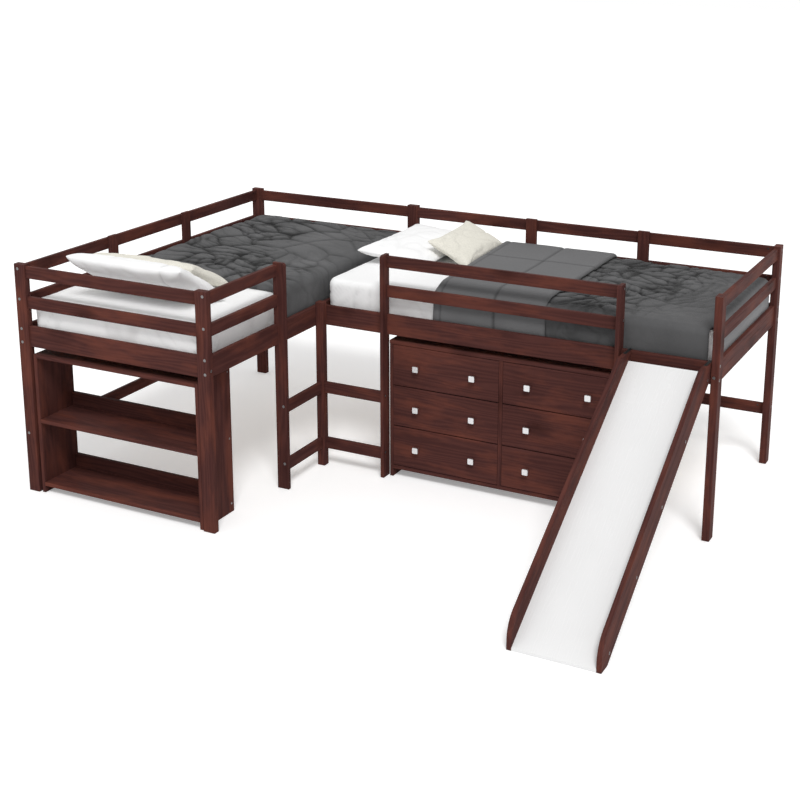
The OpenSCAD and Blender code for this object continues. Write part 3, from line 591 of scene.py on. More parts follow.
@dataclass(frozen=True)
class SmoothFinish:
    """Metal or plastic with faint scuffs.

    Args:
        name: name of the finish.
        colour: colour of the surface.
        roughness: roughness of the clean surface.
        metallic: 1 for metal and 0 for plastic.
        marks: strength of the scuffs.
        bump: strength of the relief.
        relief: depth of the scuffs.
    """

    name: str
    colour: Colour
    roughness: float
    metallic: float
    marks: float
    bump: float = 0.1
    relief: float = 0.0008

    def material(self, groups: Groups) -> bpy.types.Material:
        """Makes the material.

        Args:
            groups: shared shader groups.

        Returns:
            The material.
        """
        if self.name in groups.made:
            return groups.made[self.name]
        material, w, shader = start_material(self.name)
        groups.made[self.name] = material
        group = w.add("ShaderNodeGroup", node_tree=groups.scuffs)
        w.tree.links.new(w.add("ShaderNodeTexCoord").outputs["Object"], group.inputs["Vector"])
        group.inputs["Colour"].default_value = (*self.colour, 1)
        group.inputs["Roughness"].default_value = self.roughness
        group.inputs["Marks"].default_value = self.marks
        join_up(w, shader, group, self.bump, self.relief)
        shader.inputs["Metallic"].default_value = self.metallic
        return material


DARK_WOOD = WoodFinish(
    name="stained_pine",
    light=(0.098, 0.0365, 0.0310),
    deep=(0.053, 0.0205, 0.0190),
    warm=(0.156, 0.0490, 0.0330),
    roughness=0.42,
    coat=0.01,
)
BARE_WOOD = WoodFinish(
    name="plain_pine",
    light=(0.60, 0.42, 0.25),
    deep=(0.44, 0.28, 0.15),
    warm=(0.66, 0.44, 0.24),
    roughness=0.6,
    coat=0.0,
)
WHITE_LINEN = ClothFinish(
    name="white_sheet", colour=(0.92, 0.92, 0.92), threads=450.0, slubs=0.05, creases=0.6, sheen=0.10
)
CREAM_LINEN = ClothFinish(
    name="cream_case", colour=(0.80, 0.775, 0.69), threads=260.0, slubs=0.30, creases=0.6, sheen=0.10
)
GREY_QUILT = ClothFinish(
    name="grey_cotton", colour=(0.088, 0.088, 0.090), threads=380.0, slubs=0.10, creases=0.9, sheen=0.10
)
STEEL = SmoothFinish(
    name="bright_steel", colour=(0.62, 0.62, 0.63), roughness=0.28, metallic=1.0, marks=0.08
)
BOLT_STEEL = SmoothFinish(
    name="dull_steel", colour=(0.26, 0.25, 0.25), roughness=0.36, metallic=1.0, marks=0.10
)
DARK_STEEL = SmoothFinish(
    name="blackened_steel", colour=(0.085, 0.080, 0.080), roughness=0.40, metallic=1.0, marks=0.10
)
KNOB_METAL = SmoothFinish(
    name="brushed_knob", colour=(0.72, 0.72, 0.73), roughness=0.34, metallic=1.0, marks=0.10
)
SLIDE_WHITE = SmoothFinish(
    name="white_slide_sheet", colour=(0.80, 0.80, 0.80), roughness=0.22, metallic=0.0, marks=0.12
)

# Planes past which the boards of a node belong to the back bed, where they
# run another way.
END_TURN = Turn(Side.X, 1.40, Grain.Y)
LADDER_TURN = Turn(Side.Y, 0.06, Grain.X)
STRETCHER_TURN = Turn(Side.X, -1.46, Grain.X)
CLEAT_TURN = Turn(Side.X, -0.46, Grain.X)

WOODEN = {
    "corner_posts": (DARK_WOOD, Grain.Z, None),
    "inner_corner_post": (DARK_WOOD, Grain.Z, None),
    "ladder_posts": (DARK_WOOD, Grain.Z, None),
    "guard_end_post": (DARK_WOOD, Grain.Z, None),
    "end_rails": (DARK_WOOD, Grain.X, END_TURN),
    "end_boards": (DARK_WOOD, Grain.X, END_TURN),
    "side_rails_a": (DARK_WOOD, Grain.Y, None),
    "side_rails_b": (DARK_WOOD, Grain.X, None),
    "side_boards_a": (DARK_WOOD, Grain.Y, None),
    "side_boards_b": (DARK_WOOD, Grain.X, None),
    "guard_rails_a": (DARK_WOOD, Grain.Y, None),
    "guard_rails_b": (DARK_WOOD, Grain.X, None),
    "rail_uprights": (DARK_WOOD, Grain.Z, None),
    "low_stretchers": (DARK_WOOD, Grain.Y, STRETCHER_TURN),
    "ladder_rungs": (DARK_WOOD, Grain.Y, LADDER_TURN),
    "slat_cleats": (BARE_WOOD, Grain.Y, CLEAT_TURN),
    "slats_a": (BARE_WOOD, Grain.X, None),
    "slats_b": (BARE_WOOD, Grain.Y, None),
    "slide_side_boards": (DARK_WOOD, Grain.SLOPE, None),
    "slide_cross_cleats": (DARK_WOOD, Grain.X, None),
    "bookcase_sides": (DARK_WOOD, Grain.Z, None),
    "bookcase_top": (DARK_WOOD, Grain.X, None),
    "bookcase_shelves": (DARK_WOOD, Grain.X, None),
    "dresser_sides": (DARK_WOOD, Grain.Z, None),
    "dresser_top": (DARK_WOOD, Grain.X, None),
    "dresser_partition": (DARK_WOOD, Grain.Z, None),
    "dresser_floor": (DARK_WOOD, Grain.X, None),
    "dresser_back": (BARE_WOOD, Grain.X, None),
}


def give(piece: bpy.types.Object, material: bpy.types.Material) -> None:
    """Gives an object one material in all its slots.

    Args:
        piece: the object.
        material: its material.
    """
    if not piece.material_slots:
        piece.data.materials.append(material)
    for slot in piece.material_slots:
        slot.material = material


@dataclass
class Joinery:
    """The parts that keep their solids and get their finishes.

    Args:
        nodes: objects of the frame by name.
        groups: shared shader groups.
    """

    nodes: dict[str, bpy.types.Object]
    groups: Groups

    def dress(self) -> None:
        """Gives every wooden, metal and plastic part its material."""
        for name, piece in self.nodes.items():
            material = self.finish_of(name)
            if material:
                give(piece, material)
                LOG.info("dressed %s in %s", name, material.name)

    def finish_of(self, name: str) -> bpy.types.Material | None:
        """Material of a node, or None if a soft piece replaces it.

        Args:
            name: name of the node.

        Returns:
            The material.
        """
        if name in WOODEN:
            wood, grain, turn = WOODEN[name]
            return wood.material(self.groups, grain, turn)
        if name.startswith("drawer_box"):
            return BARE_WOOD.material(self.groups, Grain.Y)
        if name.startswith("drawer_front"):
            return DARK_WOOD.material(self.groups, Grain.X)
        if name.startswith("drawer_knobs"):
            return KNOB_METAL.material(self.groups)
        if name == "slide_sheet":
            return SLIDE_WHITE.material(self.groups)
        if name in ("barrel_nuts", "slide_hooks"):
            return DARK_STEEL.material(self.groups)
        if name in ("bolts", "bookcase_screws"):
            return BOLT_STEEL.material(self.groups)
        if name == "cabinet_runners":
            return STEEL.material(self.groups)
        return None


def smooth_step(value: np.ndarray) -> np.ndarray:
    """Eases 0..1 in and out, held at both ends."""
    held = np.clip(value, 0.0, 1.0)
    return held * held * (3 - 2 * held)


def ridge(value: np.ndarray, sharpness: float) -> np.ndarray:
    """Thin ridges where a value passes 0, from 0 beside them to 1 on top."""
    return np.clip(1 - np.abs(value) * sharpness, 0, 1) ** 2


def bell(distance: np.ndarray, width: float) -> np.ndarray:
    """Bell curve, 1 at no distance and near 0 past twice the width."""
    return np.exp(-((distance / width) ** 2))


def noise_at(points: np.ndarray, scale: float, shift: float) -> np.ndarray:
    """Smooth noise at points.

    Args:
        points: rows of three coordinates in metres.
        scale: features to the metre.
        shift: offset that picks another part of the noise.

    Returns:
        One value a point, between about -1 and 1.
    """
    offset = Vector((shift, shift, shift))
    return np.array([noise.noise(Vector(p * scale) + offset) for p in points])


def noise_over(a: np.ndarray, b: np.ndarray, scale: float, shift: float) -> np.ndarray:
    """Smooth noise over a flat sheet.

    Args:
        a: place of each point along one direction of the sheet.
        b: place of each point along the other direction.
        scale: features to the unit of a and b.
        shift: offset that picks another part of the noise.

    Returns:
        One value a point, between about -1 and 1, in the shape of a.
    """
    flat = np.stack([a.ravel(), b.ravel(), np.zeros(a.size)], 1)
    return noise_at(flat, scale, shift).reshape(a.shape)


def object_from(
    name: str, points: np.ndarray, faces: Faces, uv: np.ndarray, painted_shade: np.ndarray
) -> bpy.types.Object:
    """Makes a smooth mesh object with a cloth UV map.

    Args:
        name: name of the object.
        points: rows of three coordinates.
        faces: corners of each face.
        uv: one UV pair a point, in metres.
        painted_shade: share by which each point is drawn darker with painted shade, as in
        a crease; below 0 it is drawn lighter.

    Returns:
        The object, linked to the scene.
    """
    mesh = bpy.data.meshes.new(name)
    mesh.from_pydata([tuple(p) for p in points], [], faces)
    layer = mesh.uv_layers.new(name="cloth")
    corners = np.zeros(len(mesh.loops), np.int32)
    mesh.loops.foreach_get("vertex_index", corners)
    layer.data.foreach_set("uv", uv[corners].astype(np.float32).ravel())
    mesh.polygons.foreach_set("use_smooth", [True] * len(mesh.polygons))
    # Painted shade: the share by which the cloth shader draws each point darker.
    depth = mesh.attributes.new("painted_shade", "FLOAT", "POINT")
    depth.data.foreach_set("value", painted_shade.astype(np.float32))
    piece = bpy.data.objects.new(name, mesh)
    bpy.context.scene.collection.objects.link(piece)
    return piece


def grid_faces(rows: int, columns: int, start: int = 0, flip: bool = False) -> Faces:
    """Quads of a grid of points.

    Args:
        rows: number of rows of points.
        columns: points in a row.
        start: index of the first point.
        flip: whether the faces turn the other way.

    Returns:
        The corners of each quad.
    """
    made = []
    for i in range(rows - 1):
        for j in range(columns - 1):
            a = start + i * columns + j
            face = (a, a + columns, a + columns + 1, a + 1)
            made.append(face[::-1] if flip else face)
    return made


def finish_soft(
    piece: bpy.types.Object, node: str, material: bpy.types.Material
) -> None:
    """Puts a soft piece in place of its solid.

    Args:
        piece: the finished piece.
        node: node that it stands for.
        material: its material.
    """
    give(piece, material)
    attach(piece, BODY)
    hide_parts(node)
    LOG.info("made %s with %d faces", piece.name, len(piece.data.polygons))


def points_of(mesh: bpy.types.Mesh) -> np.ndarray:
    """Reads the points of a mesh.

    Args:
        mesh: the mesh.

    Returns:
        Rows of three coordinates.
    """
    flat = np.zeros(len(mesh.vertices) * 3, np.float32)
    mesh.vertices.foreach_get("co", flat)
    return flat.reshape(-1, 3)


def move_points(mesh: bpy.types.Mesh, points: np.ndarray) -> None:
    """Moves the points of a mesh.

    Args:
        mesh: the mesh.
        points: rows of three coordinates, one for each of its points.
    """
    mesh.vertices.foreach_set("co", points.astype(np.float32).ravel())
    mesh.update()


@dataclass(frozen=True)
class Mattress:
    """Mattress in a fitted sheet.

    Args:
        node: node that it stands for.
        seed: picks its folds.
        cell: size of its mesh cells.
        round_r: radius of its edges.
        crown: how much higher its top is in the middle.
        corner_reach: how far from a corner the sharp folds are found.
        fold: depth of the sharp folds.
        fold_wave: length of the wave that sets the sharp folds.
        ripple: depth of the ripples.
        unevenness: depth of the broad hollows.
        pucker: depth of the puckers.
        shade_from: depth from which a fold is drawn darker with painted shade.
        shade_over: how much deeper it is where it is darkest.
        shade: share by which it is darker there.
        fill: how full it is, from 0 to 1; not used.
    """

    node: str
    seed: float
    cell: float = 0.0125
    round_r: float = MATTRESS_EDGE_R
    crown: float = 0.005
    corner_reach: float = 0.22
    fold: float = 0.0055
    fold_wave: float = 0.13
    ripple: float = 0.0030
    unevenness: float = 0.0015
    pucker: float = 0.0012
    shade_from: float = 0.003
    shade_over: float = 0.006
    shade: float = 0.22
    fill: float = 0.9

    def build(self, groups: Groups) -> bpy.types.Object:
        """Builds, dresses and places the mattress.

        Args:
            groups: shared shader groups.

        Returns:
            The mattress.
        """
        low, high = (np.array(c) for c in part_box(self.node))
        centre, half = (low + high) / 2, (high - low) / 2
        points, faces = self.block(half)
        core = np.clip(points, -(half - self.round_r), half - self.round_r)
        away = points - core
        length = np.linalg.norm(away, axis=1, keepdims=True)
        normal = away / np.maximum(length, TINY)
        points = core + normal * self.round_r
        share = np.abs(points) / half
        crown = self.crown * (1 - share[:, 0] ** 4) * (1 - share[:, 1] ** 4)
        points[:, 2] += np.where(normal[:, 2] > 0.9, crown - self.crown, 0.0)
        depth = self.folds(points, half, normal)
        points += normal * depth[:, None]
        uv = points[:, :2] + normal[:, :2] * points[:, 2:]
        # Painted shade: the deeper folds of the sheet are drawn darker.
        painted_shade = np.clip((-depth - self.shade_from) / self.shade_over, 0, 1) * self.shade
        name = self.node.replace("mattress", "fitted_mattress")
        piece = object_from(name, points + centre, faces, uv, painted_shade)
        finish_soft(piece, self.node, WHITE_LINEN.material(groups))
        return piece

    def block(self, half: np.ndarray) -> tuple[np.ndarray, Faces]:
        """Divides the faces of the mattress's box into even cells.

        Args:
            half: half the size of the box.

        Returns:
            The points and the faces of the block.
        """
        counts = [max(2, round(2 * h / self.cell)) for h in half]
        lines = [np.linspace(-h, h, n + 1) for h, n in zip(half, counts)]
        index: dict[tuple[int, ...], int] = {}
        faces: Faces = []
        for axis in range(3):
            u, v = (axis + 1) % 3, (axis + 2) % 3
            for end in (0, counts[axis]):
                for a, b in itertools.product(range(counts[u]), range(counts[v])):
                    corners = []
                    for da, db in ((0, 0), (1, 0), (1, 1), (0, 1)):
                        spot = [0, 0, 0]
                        spot[axis], spot[u], spot[v] = end, a + da, b + db
                        corners.append(index.setdefault(tuple(spot), len(index)))
                    faces.append(tuple(corners if end else corners[::-1]))
        points = np.array([[line[place] for line, place in zip(lines, spot)] for spot in index])
        return points, faces

    def folds(self, points: np.ndarray, half: np.ndarray, normal: np.ndarray) -> np.ndarray:
        """Depth of the sheet's folds, all of them inwards.

        Args:
            points: points of the mattress about its centre.
            half: half the size of its box.
            normal: outward direction at each point.

        Returns:
            How far each point moves along its normal.
        """
        near = bell(np.linalg.norm(half[:2] - np.abs(points[:, :2]), axis=1), self.corner_reach)
        side = 1 - np.abs(normal[:, 2])
        around = np.abs(points[:, 0]) + np.abs(points[:, 1])
        wave = (around + points[:, 2] * 0.9) * math.tau / self.fold_wave
        slanted = np.sin(wave + self.seed + 3 * noise_at(points, 5.0, 2.0))
        pulled = noise_at(points, 7.0, self.seed)
        broad = noise_at(points, 2.2, self.seed + 7)
        rippled = ridge(noise_at(points * (1, 1, 0.4), 9.0, self.seed + 3), 4)
        depth = near * side * self.fold * ridge(slanted, 1.4) * (0.7 + 0.6 * pulled)
        depth += self.unevenness * (1 + broad)
        depth += self.ripple * rippled * (0.25 + 0.75 * side)
        depth += self.pucker * np.abs(pulled)
        return -depth


@dataclass(frozen=True)
class Quilting:
    """Gathered quilting of a comforter.

    Args:
        cell: rough size of a puff along and across the rows of puffs.
        puff: height of a puff.
        crease: width of the crease between puffs.
        slant: turn of the rows in degrees.
        seed: seed of the pattern.
        wrinkle: depth of the sharp wrinkles.
        pitch: wrinkles to the metre along and across the rows.
        waver: how far the rows waver along and across the bed.
        uneven: how far a puff's middle lies from its cell's, in cells.
        oblong: share of a distance along the rows that counts as a gap.
        repeat: number of cells after which the pattern starts again.
    """

    cell: tuple[float, float]
    puff: float
    crease: float
    slant: float
    seed: int
    wrinkle: float
    pitch: tuple[float, float]
    waver: tuple[float, float] = (0.040, 0.030)
    uneven: float = 0.42
    oblong: float = 0.62
    repeat: int = 64

    def relief(self, s: np.ndarray, d: np.ndarray) -> tuple[np.ndarray, np.ndarray]:
        """Height of the quilting over its creases, and the painted shade of its creases.

        Args:
            s: distance along the bed of each point.
            d: distance across the bed of each point.

        Returns:
            The height at each point and the share by which it is drawn darker with painted shade.
        """
        turn = math.radians(self.slant)
        wavered_s = s + self.waver[0] * np.sin(d * 9.0 + 1.3 * np.sin(s * 6.0))
        wavered_d = d + self.waver[1] * np.sin(s * 11.0 + 1.1 * np.sin(d * 8.0))
        a = wavered_s * math.cos(turn) - wavered_d * math.sin(turn)
        b = wavered_s * math.sin(turn) + wavered_d * math.cos(turn)
        edge = self.cell_edge(a / self.cell[0], b / self.cell[1])
        along, across = a * self.pitch[0], b * self.pitch[1]
        patch = smooth_step(0.6 + 1.5 * noise_over(along, across, 0.25, self.seed + 9))
        large = ridge(noise_over(along, across, 1.0, self.seed), 3.6) * (0.4 + 0.6 * patch)
        small = ridge(noise_over(along, across, 2.3, self.seed + 3), 3.4) * patch
        sewn = np.exp(-edge / self.crease)
        height = self.puff * (1 - sewn) + self.wrinkle * (1 - 0.7 * large - 0.3 * small)
        # Painted shade in the sewn creases and in the wrinkles.
        painted_shade = np.clip(0.95 * sewn**1.3 + 0.9 * large**1.5 + 0.45 * small, 0, DARKEST)
        return height, painted_shade

    def cell_edge(self, a: np.ndarray, b: np.ndarray) -> np.ndarray:
        """Distance from the border between uneven cells.

        Args:
            a: place along the rows, in cells.
            b: place across the rows, in cells.

        Returns:
            The distance at each point, in metres.
        """
        rng = np.random.default_rng(self.seed)
        jitter = rng.uniform(-self.uneven, self.uneven, (self.repeat, self.repeat, 2))
        nearest = np.full(a.shape, np.inf)
        second = np.full(a.shape, np.inf)
        row, column = np.floor(a).astype(int), np.floor(b).astype(int)
        for da, db in itertools.product((-1, 0, 1), repeat=2):
            beside, above = row + da, column + db
            shift = jitter[beside % self.repeat, above % self.repeat]
            along = (a - (beside + 0.5 + shift[..., 0])) * self.cell[0]
            across = (b - (above + 0.5 + shift[..., 1])) * self.cell[1]
            gap = np.hypot(along * self.oblong, across)
            second = np.minimum(second, np.maximum(nearest, gap))
            nearest = np.minimum(nearest, gap)
        return (second - nearest) / 2


LOOSE = Quilting(
    cell=(0.25, 0.14), puff=0.013, crease=0.009, slant=62.0, seed=3, wrinkle=0.009, pitch=(5.0, 12.0)
)
GATHERED = Quilting(
    cell=(0.060, 0.19), puff=0.009, crease=0.008, slant=-14.0, seed=8, wrinkle=0.011, pitch=(19.0, 6.0)
)


@dataclass(frozen=True)
class Seam:
    """Sewn line that sinks into a comforter.

    Args:
        at: distance of the line from the edge that it follows.
        width: about half its width.
        depth: how deep it sinks.
    """

    at: float
    width: float
    depth: float

    def sunk(self, distance: np.ndarray) -> np.ndarray:
        """How deep the line lies at each distance from the edge."""
        return self.depth * bell(distance - self.at, self.width)


@dataclass
class Comforter:
    """Quilted comforter that lies on a bed and hangs down one side.

    Every place on it is given by its distance d from the far edge, over the
    bed and down, and its distance s from the head edge.

    Args:
        node: node that it stands for.
        bed: node of its mattress.
        across: direction over the bed to the side where it hangs.
        along: direction from its head edge to the foot of the bed.
        quilting: its quilting.
        slant: how much further back its head edge starts at the hanging side.
        turned: length of the part that is turned back, or 0.
        flare: how far its head edge swings out at the hem.
        ends_down: whether it hangs over the foot of the bed too.
        cell: size of its mesh cells.
        loft: thickness over the bed, without its puffs.
        flap: thickness where it hangs.
        double: thickness of the part that is turned back.
        double_flap: thickness of that part where it hangs.
        thinnest: least thickness, away from its rim.
        bend_r: radius with which it bends over the edge of the bed.
        bend_lead: how far before the side and the foot it starts to thin.
        corner_cut: width of the corner that doesn't hang at the foot.
        off_end: how far it stands off the foot of the mattress.
        off_side: how far it stands off the side of the mattress.
        inset: distance of its far edge from the edge of the mattress.
        rest: least gap between it and the mattress.
        lift: height of its underside over that gap.
        skin: thickness of its two cloths.
        edge_r: radius of the mattress's edges.
        rim_w: width over which its rim is rounded.
        rim_share: share of its thickness that is left at the rim.
        sway: how far the hanging part sways in and out.
        calm_foot: for a comforter that is turned back, how far before its
            foot end the quilting grows calm, and over what length.
        calm_side: the same, counted from the far edge.
        calm_fold: the same, counted from the turned-back part.
        hem_seam: line along the edge that is turned back, from that edge.
        cross_seams: lines from head to foot, from the far edge.
        middle_share: place of the line between fold and edge, as a share of
            the turned-back length.
        mottle: share by which broad patches are drawn darker or lighter, as
        painted shade and light for the puffs' shading.
        foot_light: share by which the part over the foot is lighter.
        fold_light: share by which the turned-back part is lighter.
        fold_shadow: share by which it is darker beside the fold.
        fill: how full it is, from 0 to 1; not used.

    Attributes:
        start: corner of the mattress at its far edge and head.
        head: place of its head edge along the bed.
        top: height of the mattress's top, with the least gap.
        flat: distance over the bed to where it bends down.
        curve: length of its bend over the edge.
        drop: length of its straight hanging part.
        reach: distance from its far edge to its hem.
        length: distance from its head edge to where it ends or bends down.
        beyond: distance from its solid's foot end to the mattress's.
    """

    node: str
    bed: str
    across: tuple[float, float, float]
    along: tuple[float, float, float]
    quilting: Quilting
    slant: float = 0.0
    turned: float = 0.0
    flare: float = 0.0
    ends_down: bool = False
    cell: float = 0.0068
    loft: float = 0.006
    flap: float = 0.006
    double: float = 0.044
    double_flap: float = 0.0138
    thinnest: float = 0.004
    bend_r: float = 0.024
    bend_lead: tuple[float, float] = (0.06, 0.05)
    corner_cut: float = 0.12
    off_end: float = 0.0006
    off_side: float = 0.002
    inset: float = 0.004
    rest: float = 0.0003
    lift: float = 0.0004
    skin: float = 0.0012
    edge_r: float = MATTRESS_EDGE_R
    rim_w: float = 0.026
    rim_share: float = 0.12
    sway: float = 0.0016
    calm_foot: tuple[float, float] = (0.36, 0.30)
    calm_side: tuple[float, float] = (0.58, 0.25)
    calm_fold: tuple[float, float] = (0.24, 0.22)
    hem_seam: Seam = Seam(at=0.045, width=0.005, depth=0.0030)
    cross_seams: tuple[Seam, ...] = (Seam(0.33, 0.006, 0.0035), Seam(0.72, 0.006, 0.0035))
    middle_share: float = 0.55
    mottle: float = 0.34
    foot_light: float = 1.7
    fold_light: float = 0.42
    fold_shadow: float = 0.8
    fill: float = 0.35
    start: np.ndarray = field(init=False)
    head: float = field(init=False)
    top: float = field(init=False)
    flat: float = field(init=False)
    curve: float = field(init=False)
    drop: float = field(init=False)
    reach: float = field(init=False)
    length: float = field(init=False)
    beyond: float = field(init=False)

    def __post_init__(self) -> None:
        """Takes the comforter's places from its mattress and its solids."""
        low, high = (np.array(c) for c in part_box(self.bed))
        own_low, own_high = (np.array(c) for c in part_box(self.node))
        over, down = np.array(self.across), np.array(self.along)
        self.start = np.where(over > 0, low, high)
        self.head, foot = sorted((float(own_low @ down), float(own_high @ down)))
        self.top = high[2] + self.rest
        self.flat = abs(float((high - low) @ over)) - self.inset + self.off_side - self.bend_r
        self.curve = self.bend_r * QUARTER
        self.drop = self.top - self.bend_r - float(own_low[2])
        self.reach = self.flat + self.curve + self.drop
        self.length = foot - self.head
        self.beyond = float(high @ down) - foot
        if self.ends_down:
            self.length = float(high @ down) + self.off_end - self.bend_r - self.head

    def build(self, groups: Groups) -> bpy.types.Object:
        """Builds, dresses and places the comforter.

        Args:
            groups: shared shader groups.

        Returns:
            The comforter.
        """
        points, faces, uv, painted_shade = self.shape()
        name = self.node.replace("comforter", "quilted_comforter")
        piece = object_from(name, points, faces, uv, painted_shade)
        finish_soft(piece, self.node, GREY_QUILT.material(groups))
        return piece

    def columns(self) -> tuple[np.ndarray, np.ndarray, np.ndarray]:
        """Columns of the mesh along the bed.

        Returns:
            The distance from the head edge of each column, its place round
            the fold from 1 on top to 0 below, and how far down the foot of
            the bed it is, from 0 to 1.
        """
        s, over = self.flat_columns()
        if not self.ends_down:
            return s, over, np.zeros(s.size)
        tail = np.linspace(0, 1, int((self.curve + self.drop) / self.cell) + 1)[1:]
        s, over = (np.concatenate([a, np.full(tail.size, a[-1])]) for a in (s, over))
        return s, over, np.concatenate([np.zeros(s.size - tail.size), tail])

    def flat_columns(self) -> tuple[np.ndarray, np.ndarray]:
        """Columns of the part that lies on the bed.

        Returns:
            The distance from the head edge of each column, and its place
            round the fold from 1 on top to 0 below.
        """
        if not self.turned:
            s = np.linspace(0, self.length, int(self.length / self.cell) + 1)
            return s, np.zeros(s.size)
        r = (self.double - self.loft) / 2
        fold = self.turned - r
        before = np.linspace(0, fold, int(self.turned / self.cell) + 1)
        after = np.linspace(fold, self.length, int((self.length - self.turned) / self.cell) + 1)
        turn = np.radians(np.linspace(75, -105, 12))
        s = np.concatenate([before, fold + r * np.cos(turn), after[1:]])
        over = np.concatenate([np.ones(before.size), (np.sin(turn) + 1) / 2, np.zeros(after.size - 1)])
        return s, over

    def shape(self) -> tuple[np.ndarray, Faces, np.ndarray, np.ndarray]:
        """Works out the comforter's surface.

        Returns:
            Its points, faces, UV pairs and shares by which it is drawn darker with painted shade.
        """
        line, over, tail = self.columns()
        rows = int(self.reach / self.cell) + 1
        columns = line.size
        d, s = np.meshgrid(np.linspace(0, self.reach, rows), line, indexing="ij")
        corner = 1 - 0.98 * smooth_step((d - self.flat + self.corner_cut) / self.corner_cut)
        end = tail[None, :] * (self.curve + self.drop) * corner
        left = (1 - tail[None, :]) * (self.curve + self.drop) * corner if self.ends_down else 0 * d
        height, painted_shade = self.padding(d, s, np.broadcast_to(over, d.shape), end)
        height = self.lift + self.skin + height * self.rim(d, s, left)
        on_bed = int((tail == 0).sum())
        even = np.concatenate([np.linspace(0, self.length, on_bed), np.full(columns - on_bed, self.length)])
        top = self.laid(d, s, end, height)
        under = self.laid(d, np.broadcast_to(even, d.shape), end, np.full(d.shape, self.lift))
        points = np.concatenate([top.reshape(-1, 3), under.reshape(-1, 3)])
        uv = np.stack([s + end, d], -1).reshape(-1, 2)
        painted_shade = np.concatenate([painted_shade.ravel(), np.zeros(d.size)])
        return points, self.faces(rows, columns), np.concatenate([uv, uv]), painted_shade

    def faces(self, rows: int, columns: int) -> Faces:
        """Faces of the upper side, the underside and the rim between them.

        Args:
            rows: number of rows of points.
            columns: points in a row.

        Returns:
            The corners of each face.
        """
        handed = float(np.cross(self.across, self.along)[2]) > 0
        count = rows * columns
        faces = grid_faces(rows, columns, 0, not handed) + grid_faces(rows, columns, count, handed)
        border = list(range(columns))
        border += [i * columns + columns - 1 for i in range(1, rows)]
        border += [(rows - 1) * columns + j for j in range(columns - 2, -1, -1)]
        border += [i * columns for i in range(rows - 2, 0, -1)]
        for a, b in zip(border, border[1:] + border[:1]):
            face = (a, b, b + count, a + count)
            faces.append(face if handed else face[::-1])
        return faces

    def lying(self, d: np.ndarray, s: np.ndarray, end: np.ndarray) -> np.ndarray:
        """Tells where the comforter lies and where it hangs.

        Args:
            d: distance from its far edge over the bed and down.
            s: distance from its head edge.
            end: distance past the flat part over the foot of the bed.

        Returns:
            1 where it lies on the bed, falling to 0 where it hangs.
        """
        side, foot = self.bend_lead
        lying = 1 - smooth_step((d - self.flat + side) / (side + self.curve))
        if self.ends_down:
            lying = lying * (1 - smooth_step((s - self.length + end + foot) / (foot + self.curve)))
        return lying

    def liveliness(self, d: np.ndarray, s: np.ndarray) -> np.ndarray:
        """How strongly the quilting shows.

        Args:
            d: distance from its far edge over the bed and down.
            s: distance from its head edge.

        Returns:
            A share from 0 to 1 at each point: lower in calmer stretches, and
            on a comforter that is turned back also at its foot and side.
        """
        drift = noise_over(d, s, 1.9, self.quilting.seed + 21)
        lively = 0.50 + 0.50 * smooth_step(0.55 + 1.8 * drift)
        if not self.turned:
            return lively
        before, over = self.calm_foot
        at_foot = smooth_step((s - self.length + before) / over)
        past, over = self.calm_side
        at_side = smooth_step((d - past) / over)
        past, over = self.calm_fold
        at_side = at_side * smooth_step((s - self.turned - past) / over)
        return (0.35 + 0.65 * lively) * (1 - 0.60 * at_foot) * (1 - 0.60 * at_side)

    def padding(
        self, d: np.ndarray, s: np.ndarray, over: np.ndarray, end: np.ndarray
    ) -> tuple[np.ndarray, np.ndarray]:
        """Thickness of the comforter away from its rim.

        Args:
            d: distance from its far edge over the bed and down.
            s: distance from its head edge.
            over: 1 on the turned-back part, 0 past it, between in its fold.
            end: distance past the flat part over the foot of the bed.

        Returns:
            The thickness at each point and the share by which it is drawn darker with painted shade; below
            0 it is drawn lighter.
        """
        lying, lively = self.lying(d, s, end), self.liveliness(d, s)
        swell = noise_over(d, s, 2.4, self.quilting.seed + 5)
        tone = noise_over(d, s, 4.2, self.quilting.seed + 11)
        quilted, creased = self.quilting.relief(s + end, d)
        full = self.quilting.puff + self.quilting.wrinkle
        ease = (0.22 + 0.78 * lying) * lively
        thick = self.flap + (self.loft - self.flap) * lying + quilted * ease
        thick = thick + full * 0.35 * lying * (1 - lively) + 0.003 * swell * lying
        # Painted shade in the creases, painted shade and light in broad patches, and the part over the foot
        # drawn lighter.
        painted_shade = creased * ease + self.mottle * tone + 0.01 - self.foot_light * smooth_step(end / 0.03)
        if self.turned:
            seams = self.seams(d, s)
            wander = noise_over(d, s, 6.0, self.quilting.seed)
            double = self.double_flap + (self.double - self.double_flap) * lying
            double = double + 0.0025 * wander + 0.0035 * swell * lying - seams
            thick = thick * (1 - over) + double * over
            # Painted shadow under the fold's edge, and painted shade along the seams of the turned-back
            # part.
            shadow = bell(np.maximum(s - self.turned + 0.012, 0), 0.012) * (1 - over)
            facing = np.clip(seams / 0.006, 0, 0.6) - self.fold_light
            painted_shade = painted_shade * (1 - over) + facing * over + self.fold_shadow * shadow
        return np.maximum(thick, self.thinnest), np.clip(painted_shade, LIGHTEST, DARKEST)

    def rim(self, d: np.ndarray, s: np.ndarray, left: np.ndarray) -> np.ndarray:
        """Share of the thickness that is left towards the rim.

        Args:
            d: distance from its far edge over the bed and down.
            s: distance from its head edge.
            left: how much of the part that hangs over the foot is still ahead.

        Returns:
            The share at each point, 1 away from the rim.
        """
        inside = np.minimum(np.minimum(s, self.length - s + left), np.minimum(d, self.reach - d))
        rounded = np.sqrt(1 - (1 - np.clip(inside / self.rim_w, 0, 1)) ** 2)
        return self.rim_share + (1 - self.rim_share) * rounded

